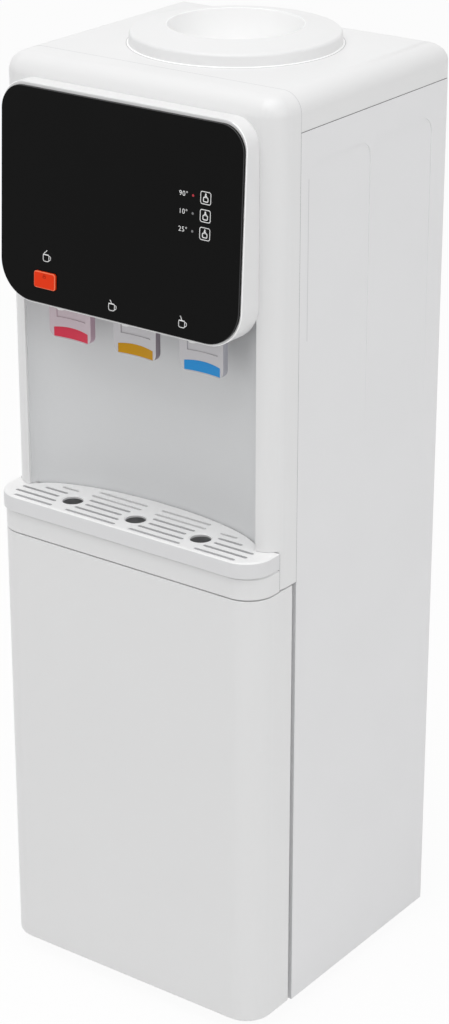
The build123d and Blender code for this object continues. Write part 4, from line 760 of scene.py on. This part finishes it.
@dataclass
class ConsoleLooks:
    """The black face plate with its print, its lamps and the child lock button."""

    shop: Workshop
    tilt: float = math.radians(3.02)
    low: Point = (0.0, -0.1632, 0.7125)
    lift: float = 0.00006
    line: float = 0.0007
    corner_segments: int = 5
    dot_corners: int = 12
    chamfer_facing: Flat = (0.5, 0.9)
    bezel_edge: float = 0.0006
    bezel_glint: float = 0.0013
    bezel_facing: Flat = (0.1, 0.97)

    rows: tuple[float, ...] = (0.8436, 0.8276, 0.8116)
    labels: tuple[str, ...] = ("90°", "10°", "25°")
    label_right: float = 0.0775
    label_size: float = 0.00644
    label_spacing: float = 1.12
    lamp_x: float = 0.083
    lamp_radius: float = 0.0012
    lamp_slope: float = 0.35
    key_x: float = 0.0966
    key_size: Flat = (0.0116, 0.0116)
    key_rounding: float = 0.0022
    bottle_size: Flat = (0.0058, 0.0048)
    bottle_rounding: float = 0.0014
    bottle_weight: float = 1.3
    bottle_drop: float = 0.0014
    bottle_dots: tuple[Flat, ...] = ((0.0013, 0.0014), (0.0008, 0.0034))

    cups: tuple[Flat, ...] = ((-0.0815, 0.7577), (-0.0047, 0.7265), (0.0745, 0.7268))
    cup_size: Flat = (0.0074, 0.0072)
    cup_rounding: float = 0.0021
    cup_shift: Flat = (0.0003, 0.0012)
    cup_handle: tuple[Flat, ...] = (
        (0.0034, 0.0012), (0.0050, 0.0003), (0.0051, -0.0020), (0.0032, -0.0034),
    )
    cup_rim: tuple[Flat, ...] = ((-0.0034, 0.0018), (0.0030, 0.0018))
    rim_weight: float = 1.5
    steam_weight: float = 1.1
    steams: tuple[tuple[Flat, ...], ...] = (
        ((-0.0032, 0.0012), (-0.0022, 0.0034), (0.0004, 0.0052), (0.0008, 0.0064)),
        ((-0.0004, 0.0024), (-0.0012, 0.0042), (-0.0022, 0.0052)),
        ((-0.0004, 0.0024), (-0.0010, 0.0044), (-0.0020, 0.0060)),
    )

    button_middle: Flat = (-0.082, 0.7387)
    button_proud: float = 0.0022
    button_facing: Flat = (0.1, 0.985)
    padlock_size: Flat = (0.0034, 0.0022)
    padlock_rounding: float = 0.0004
    padlock_line: float = 0.0006
    shackle: tuple[Flat, ...] = (
        (-0.0009, 0.0), (-0.0009, 0.0010), (0.0, 0.0017), (0.0009, 0.0010), (0.0009, 0.0),
    )
    shackle_line: float = 0.0004
    shackle_rise: float = 0.0011
    printed: list[bpy.types.Object] = field(default_factory=list)

    @property
    def facing(self) -> Vector:
        """The way the face plate looks."""
        return Vector((0, -math.cos(self.tilt), math.sin(self.tilt)))

    def on_plate(self, x: float, z: float, lift: float) -> Vector:
        """A point on the tilted face plate.

        Args:
            x: Across the plate.
            z: Height of the point.
            lift: How far ahead of the face.

        Returns:
            The point.
        """
        along = (z - self.low[2]) / math.cos(self.tilt)
        y = self.low[1] + along * math.sin(self.tilt) - lift * math.cos(self.tilt)
        return Vector((x, y, z + lift * math.sin(self.tilt)))

    def lay(self, piece: bpy.types.Object, x: float, z: float, proud: float = 0.0) -> None:
        """Lays a flat piece, drawn in X and Y, on the face plate.

        Args:
            piece: The piece, at the origin.
            x: Across the plate.
            z: Height of its middle.
            proud: How far its ground stands ahead of the face.
        """
        piece.rotation_euler = (math.radians(90) - self.tilt, 0, 0)
        piece.location = self.on_plate(x, z, proud + self.lift)
        self.shop.apply_place(piece)

    def frame(self, size: Flat, rounding: float, line: float) -> bpy.types.Object:
        """A flat printed frame with round corners.

        Args:
            size: Its width and its height.
            rounding: How much of each corner is rounded.
            line: The width of its line.

        Returns:
            The frame, drawn round the origin.
        """
        self.shop.deselect()
        bpy.ops.mesh.primitive_plane_add(size=1)
        piece = bpy.context.object
        piece.name = piece.data.name = "printed_frame"
        bpy.ops.object.mode_set(mode="EDIT")
        bpy.ops.transform.resize(value=(*size, 1))
        bpy.ops.mesh.bevel(offset=rounding, segments=self.corner_segments, affect="VERTICES")
        bpy.ops.mesh.inset(thickness=line)
        bpy.ops.mesh.delete(type="FACE")
        bpy.ops.object.mode_set(mode="OBJECT")
        return piece

    def dot(self, radius: float) -> bpy.types.Object:
        """A small filled dot, drawn round the origin.

        Args:
            radius: Its radius.

        Returns:
            The dot.
        """
        self.shop.deselect()
        bpy.ops.mesh.primitive_circle_add(
            vertices=self.dot_corners, radius=radius, fill_type="NGON"
        )
        return bpy.context.object

    def line_sign(self, points: Sequence[Flat], width: float) -> bpy.types.Object:
        """A fine printed line through points, drawn round the origin."""
        return self.shop.stroke("printed_line", [(x, y, 0.0) for x, y in points], width)

    def print_at(self, piece: bpy.types.Object, x: float, z: float) -> None:
        """Lays a printed piece on the plate and keeps it for joining."""
        self.lay(piece, x, z)
        self.printed.append(piece)

    def key_sign(self, z: float) -> None:
        """Prints one touch key: a rounded frame with a water bottle inside.

        Args:
            z: Height of the key's middle.
        """
        self.print_at(self.frame(self.key_size, self.key_rounding, self.line), self.key_x, z)
        bottle = self.frame(
            self.bottle_size, self.bottle_rounding, self.line * self.bottle_weight
        )
        self.print_at(bottle, self.key_x, z - self.bottle_drop)
        for radius, rise in self.bottle_dots:
            self.print_at(self.dot(radius), self.key_x, z + rise)

    def cup_sign(self, x: float, z: float, steam: Sequence[Flat]) -> None:
        """Prints one cup with its handle and what rises from it.

        Args:
            x: Across the plate.
            z: Height of the sign's middle.
            steam: The stroke above the cup.
        """
        left, down = self.cup_shift
        self.print_at(self.frame(self.cup_size, self.cup_rounding, self.line), x - left, z - down)
        for points, weight in (
            (self.cup_handle, 1.0), (self.cup_rim, self.rim_weight), (steam, self.steam_weight)
        ):
            self.print_at(self.line_sign(points, self.line * weight), x, z)

    def number(self, text: str, z: float) -> None:
        """Prints a temperature beside its key.

        Args:
            text: The number.
            z: Height of its middle.
        """
        self.shop.deselect()
        bpy.ops.object.text_add(location=(0, 0, 0))
        piece = bpy.context.object
        piece.data.body = text
        piece.data.size = self.label_size
        piece.data.space_character = self.label_spacing
        piece.data.align_x = "RIGHT"
        piece.data.align_y = "CENTER"
        bpy.ops.object.convert(target="MESH")
        self.print_at(bpy.context.object, self.label_right, z)

    def lamp(self, z: float, finish: str) -> None:
        """Adds one indicator lamp, a low dome on the plate.

        Args:
            z: Its height.
            finish: Its finish.
        """
        piece = self.dot(self.lamp_radius)
        piece.name = piece.data.name = f"lamp_{round(z * 10000)}"
        bpy.ops.object.mode_set(mode="EDIT")
        bpy.ops.mesh.select_all(action="SELECT")
        bpy.ops.mesh.inset(thickness=self.lamp_radius * self.lamp_slope)
        bpy.ops.transform.translate(value=(0, 0, self.lift * 2))
        bpy.ops.object.mode_set(mode="OBJECT")
        self.lay(piece, self.lamp_x, z)
        self.shop.settle(piece, Body.CABINET.value, self.shop.slots["status_board"], finish)

    def plate(self) -> None:
        """Finishes the plate with a painted highlight on its chamfer, and the bezel with a
        glowing painted highlight along its inner edge.
        """
        plate = self.shop.finish_copy("face_plate")
        facing = self.facing
        flattest, steepest = self.chamfer_facing
        # Painted highlight on the plate's chamfer faces.
        self.shop.accent(
            plate, "plate_chamfer_highlight", lambda normal, middle: flattest < normal.dot(facing) < steepest
        )
        low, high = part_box("face_plate")
        reach, bottom, top = (
            high[0] + self.bezel_glint, low[2] - self.bezel_glint, high[2] + self.bezel_glint
        )
        bezel = self.shop.finish_copy("console_bezel", self.bezel_edge)
        least, most = self.bezel_facing
        # Painted highlight on the bezel's faces round the plate.
        self.shop.accent(
            bezel, "painted_edge_highlight",
            lambda normal, middle: least < normal.dot(facing) < most
            and abs(middle.x) < reach and bottom < middle.z < top,
        )

    def button(self) -> None:
        """Finishes the child lock button with a painted highlight on its rim, and a small
        padlock.
        """
        button = self.shop.finish_copy("child_lock_button")
        facing = self.facing
        least, most = self.button_facing
        # Painted highlight on the button's rim faces.
        self.shop.accent(
            button, "button_rim_highlight", lambda normal, middle: least < normal.dot(facing) < most
        )
        x, z = self.button_middle
        marks = [
            self.frame(self.padlock_size, self.padlock_rounding, self.padlock_line),
            self.line_sign(self.shackle, self.shackle_line),
        ]
        for part, rise in zip(marks, (0.0, self.shackle_rise)):
            self.lay(part, x, z + rise, self.button_proud)
        mark = self.shop.join(marks, "button_mark")
        slot = self.shop.slots["child_lock_button"]
        self.shop.settle(mark, Body.CHILD_LOCK.value, slot, "button_mark")

    def build(self) -> None:
        """Builds the plate, its print, its lamps and the button."""
        self.plate()
        self.button()
        for z, text in zip(self.rows, self.labels):
            self.key_sign(z)
            self.number(text, z)
            self.lamp(z, "lamp_red" if z == self.rows[0] else "lamp_off")
        for (x, z), steam in zip(self.cups, self.steams):
            self.cup_sign(x, z, steam)
        print_piece = self.shop.join(self.printed, "panel_print")
        slot = self.shop.slots["face_plate"]
        self.shop.settle(print_piece, Body.CABINET.value, slot, "panel_print")


@dataclass
class TapLooks:
    """The three taps with their levers and coloured labels."""

    shop: Workshop
    taps: tuple[str, ...] = ("hot", "warm", "cold")
    # Painted red light from the hot label, on the hot lever.
    painted_label_light: dict[str, str] = field(default_factory=lambda: {"hot": "lever_red_light_painted"})
    # Painted shade for each lever's sides.
    edges: dict[str, str] = field(
        default_factory=lambda: {"hot": "lever_side_shade_rosy", "warm": "lever_side_shade_dusk", "cold": "lever_side_shade_cool"}
    )
    body_edge: float = 0.0002
    lever_edge: float = 0.0006
    label_edge: float = 0.0001
    sideways: float = 0.6

    def build(self) -> None:
        """Smooths the taps' nodes, paints shade on the levers' sides and paints red light from
        the hot label onto the hot lever.
        """
        for tap in self.taps:
            self.shop.finish_copy(f"tap_body_{tap}", self.body_edge)
            cast_light = self.painted_label_light.get(tap, "")
            lever = self.shop.finish_copy(f"lever_{tap}", self.lever_edge, finish=cast_light)
            # Painted shade on the lever's sides.
            self.shop.accent(
                lever, self.edges[tap], lambda normal, middle: abs(normal.x) > self.sideways
            )
            self.shop.finish_copy(f"lever_label_{tap}", self.label_edge, segments=1)


@dataclass
class RearLooks:
    """The switches and the mains inlet at the back."""

    shop: Workshop
    rockers: tuple[str, ...] = ("heating_rocker", "cooling_rocker")
    rocker_edge: float = 0.0003

    def build(self) -> None:
        """Smooths the switch plate and its rockers."""
        self.shop.finish_copy("switch_plate")
        for name in self.rockers:
            self.shop.finish_copy(name, self.rocker_edge)


@dataclass(frozen=True)
class SoftLamp:
    """A soft square lamp: its place, its side and the light it gives, 1 being full white."""

    name: str
    place: Point
    size: float
    share: float


@dataclass
class Studio:
    """The floor, the soft lamps and the camera."""

    azimuth: float = math.radians(36.16)
    elevation: float = math.radians(23.37)
    target: Point = (0.03794, -0.04858, 0.49519)
    distance: float = 2.57249
    lens: float = 94.35
    sensor: float = 36.0
    far_end: float = 60.0
    world_strength: float = 0.54
    floor_half: float = 14.0
    floor_z: float = -0.0002
    floor_grey: float = 0.92
    floor_roughness: float = 0.9
    floor_white: float = 0.94
    lamp_target: Point = (0.0, 0.0, 0.5)
    lamps: tuple[SoftLamp, ...] = (
        SoftLamp("overhead", (0.1, -0.8, 3.3), 2.6, 0.48),
        SoftLamp("right_fill", (3.2, -0.6, 1.4), 2.2, 0.13),
        SoftLamp("left_fill", (-1.7, -3.0, 1.2), 1.6, 0.05),
    )

    @staticmethod
    def seen(tree: bpy.types.NodeTree) -> bpy.types.NodeSocket:
        """One where the camera or a reflection looks, zero where light only bounces.

        Args:
            tree: The node tree it is added to.

        Returns:
            The socket that holds it.
        """
        path = tree.nodes.new("ShaderNodeLightPath")
        either, through = math_node(tree, "MAXIMUM"), math_node(tree, "MAXIMUM")
        tree.links.new(path.outputs["Is Camera Ray"], either.inputs[0])
        tree.links.new(path.outputs["Is Glossy Ray"], either.inputs[1])
        tree.links.new(either.outputs[0], through.inputs[0])
        tree.links.new(path.outputs["Is Transmission Ray"], through.inputs[1])
        return through.outputs[0]

    def world(self) -> None:
        """White background for the camera, softer light for the rest."""
        world = bpy.data.worlds.new("studio")
        bpy.context.scene.world = world
        world.use_nodes = True
        nodes, links = world.node_tree.nodes, world.node_tree.links
        back = nodes["Background"]
        strength = nodes.new("ShaderNodeMapRange")
        links.new(self.seen(world.node_tree), strength.inputs["Value"])
        strength.inputs["To Min"].default_value = self.world_strength
        strength.inputs["To Max"].default_value = 1.0
        back.inputs["Color"].default_value = (1, 1, 1, 1)
        links.new(strength.outputs["Result"], back.inputs["Strength"])

    def floor(self) -> None:
        """A white floor that keeps a faint shadow."""
        Workshop.deselect()
        bpy.ops.mesh.primitive_plane_add(size=2 * self.floor_half, location=(0, 0, self.floor_z))
        floor = bpy.context.object
        floor.name = "studio_floor"
        material = bpy.data.materials.new("studio_floor")
        material.use_nodes = True
        nodes, links = material.node_tree.nodes, material.node_tree.links
        shader = nodes["Principled BSDF"]
        shader.inputs["Base Color"].default_value = (*(self.floor_grey,) * 3, 1)
        shader.inputs["Roughness"].default_value = self.floor_roughness
        shader.inputs["Specular IOR Level"].default_value = 0.0
        glow = nodes.new("ShaderNodeEmission")
        glow.inputs["Strength"].default_value = 1.0
        share = math_node(material.node_tree, "MULTIPLY")
        share.inputs[1].default_value = self.floor_white
        mix = nodes.new("ShaderNodeMixShader")
        links.new(self.seen(material.node_tree), share.inputs[0])
        links.new(share.outputs[0], mix.inputs["Fac"])
        links.new(shader.outputs["BSDF"], mix.inputs[1])
        links.new(glow.outputs["Emission"], mix.inputs[2])
        links.new(mix.outputs["Shader"], nodes["Material Output"].inputs["Surface"])
        floor.data.materials.append(material)
        floor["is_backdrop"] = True

    def lamp(self, lamp: SoftLamp) -> None:
        """Adds a soft lamp that looks at the object.

        Args:
            lamp: The lamp.
        """
        away = Vector(lamp.place) - Vector(self.lamp_target)
        data = bpy.data.lights.new(lamp.name, "AREA")
        data.size = lamp.size
        data.energy = lamp.share * math.pi**2 * away.length_squared
        light = add_object(lamp.name, data)
        light.location = lamp.place
        light.rotation_euler = away.to_track_quat("Z", "Y").to_euler()

    def camera(self) -> None:
        """The camera of the photograph's view."""
        data = bpy.data.cameras.new("camera")
        data.sensor_fit = "AUTO"
        data.sensor_width = self.sensor
        data.lens = self.lens
        data.clip_end = self.far_end
        back = Vector((
            math.sin(self.azimuth) * math.cos(self.elevation),
            -math.cos(self.azimuth) * math.cos(self.elevation),
            math.sin(self.elevation),
        ))
        camera = add_object("camera", data)
        camera.location = Vector(self.target) + back * self.distance
        camera.rotation_euler = back.to_track_quat("Z", "Y").to_euler()
        bpy.context.scene.camera = camera

    def build(self) -> None:
        """Builds the studio."""
        bpy.context.scene.view_settings.view_transform = "Standard"
        self.world()
        self.floor()
        for lamp in self.lamps:
            self.lamp(lamp)
        self.camera()


def main() -> None:
    """Builds every sub-assembly and the studio."""
    logging.basicConfig(level=logging.INFO)
    shop = Workshop()
    shop.dress_nodes()
    CabinetLooks(shop).build()
    ConsoleLooks(shop).build()
    TapLooks(shop).build()
    RearLooks(shop).build()
    Studio().build()


if __name__ == "__main__":
    main()
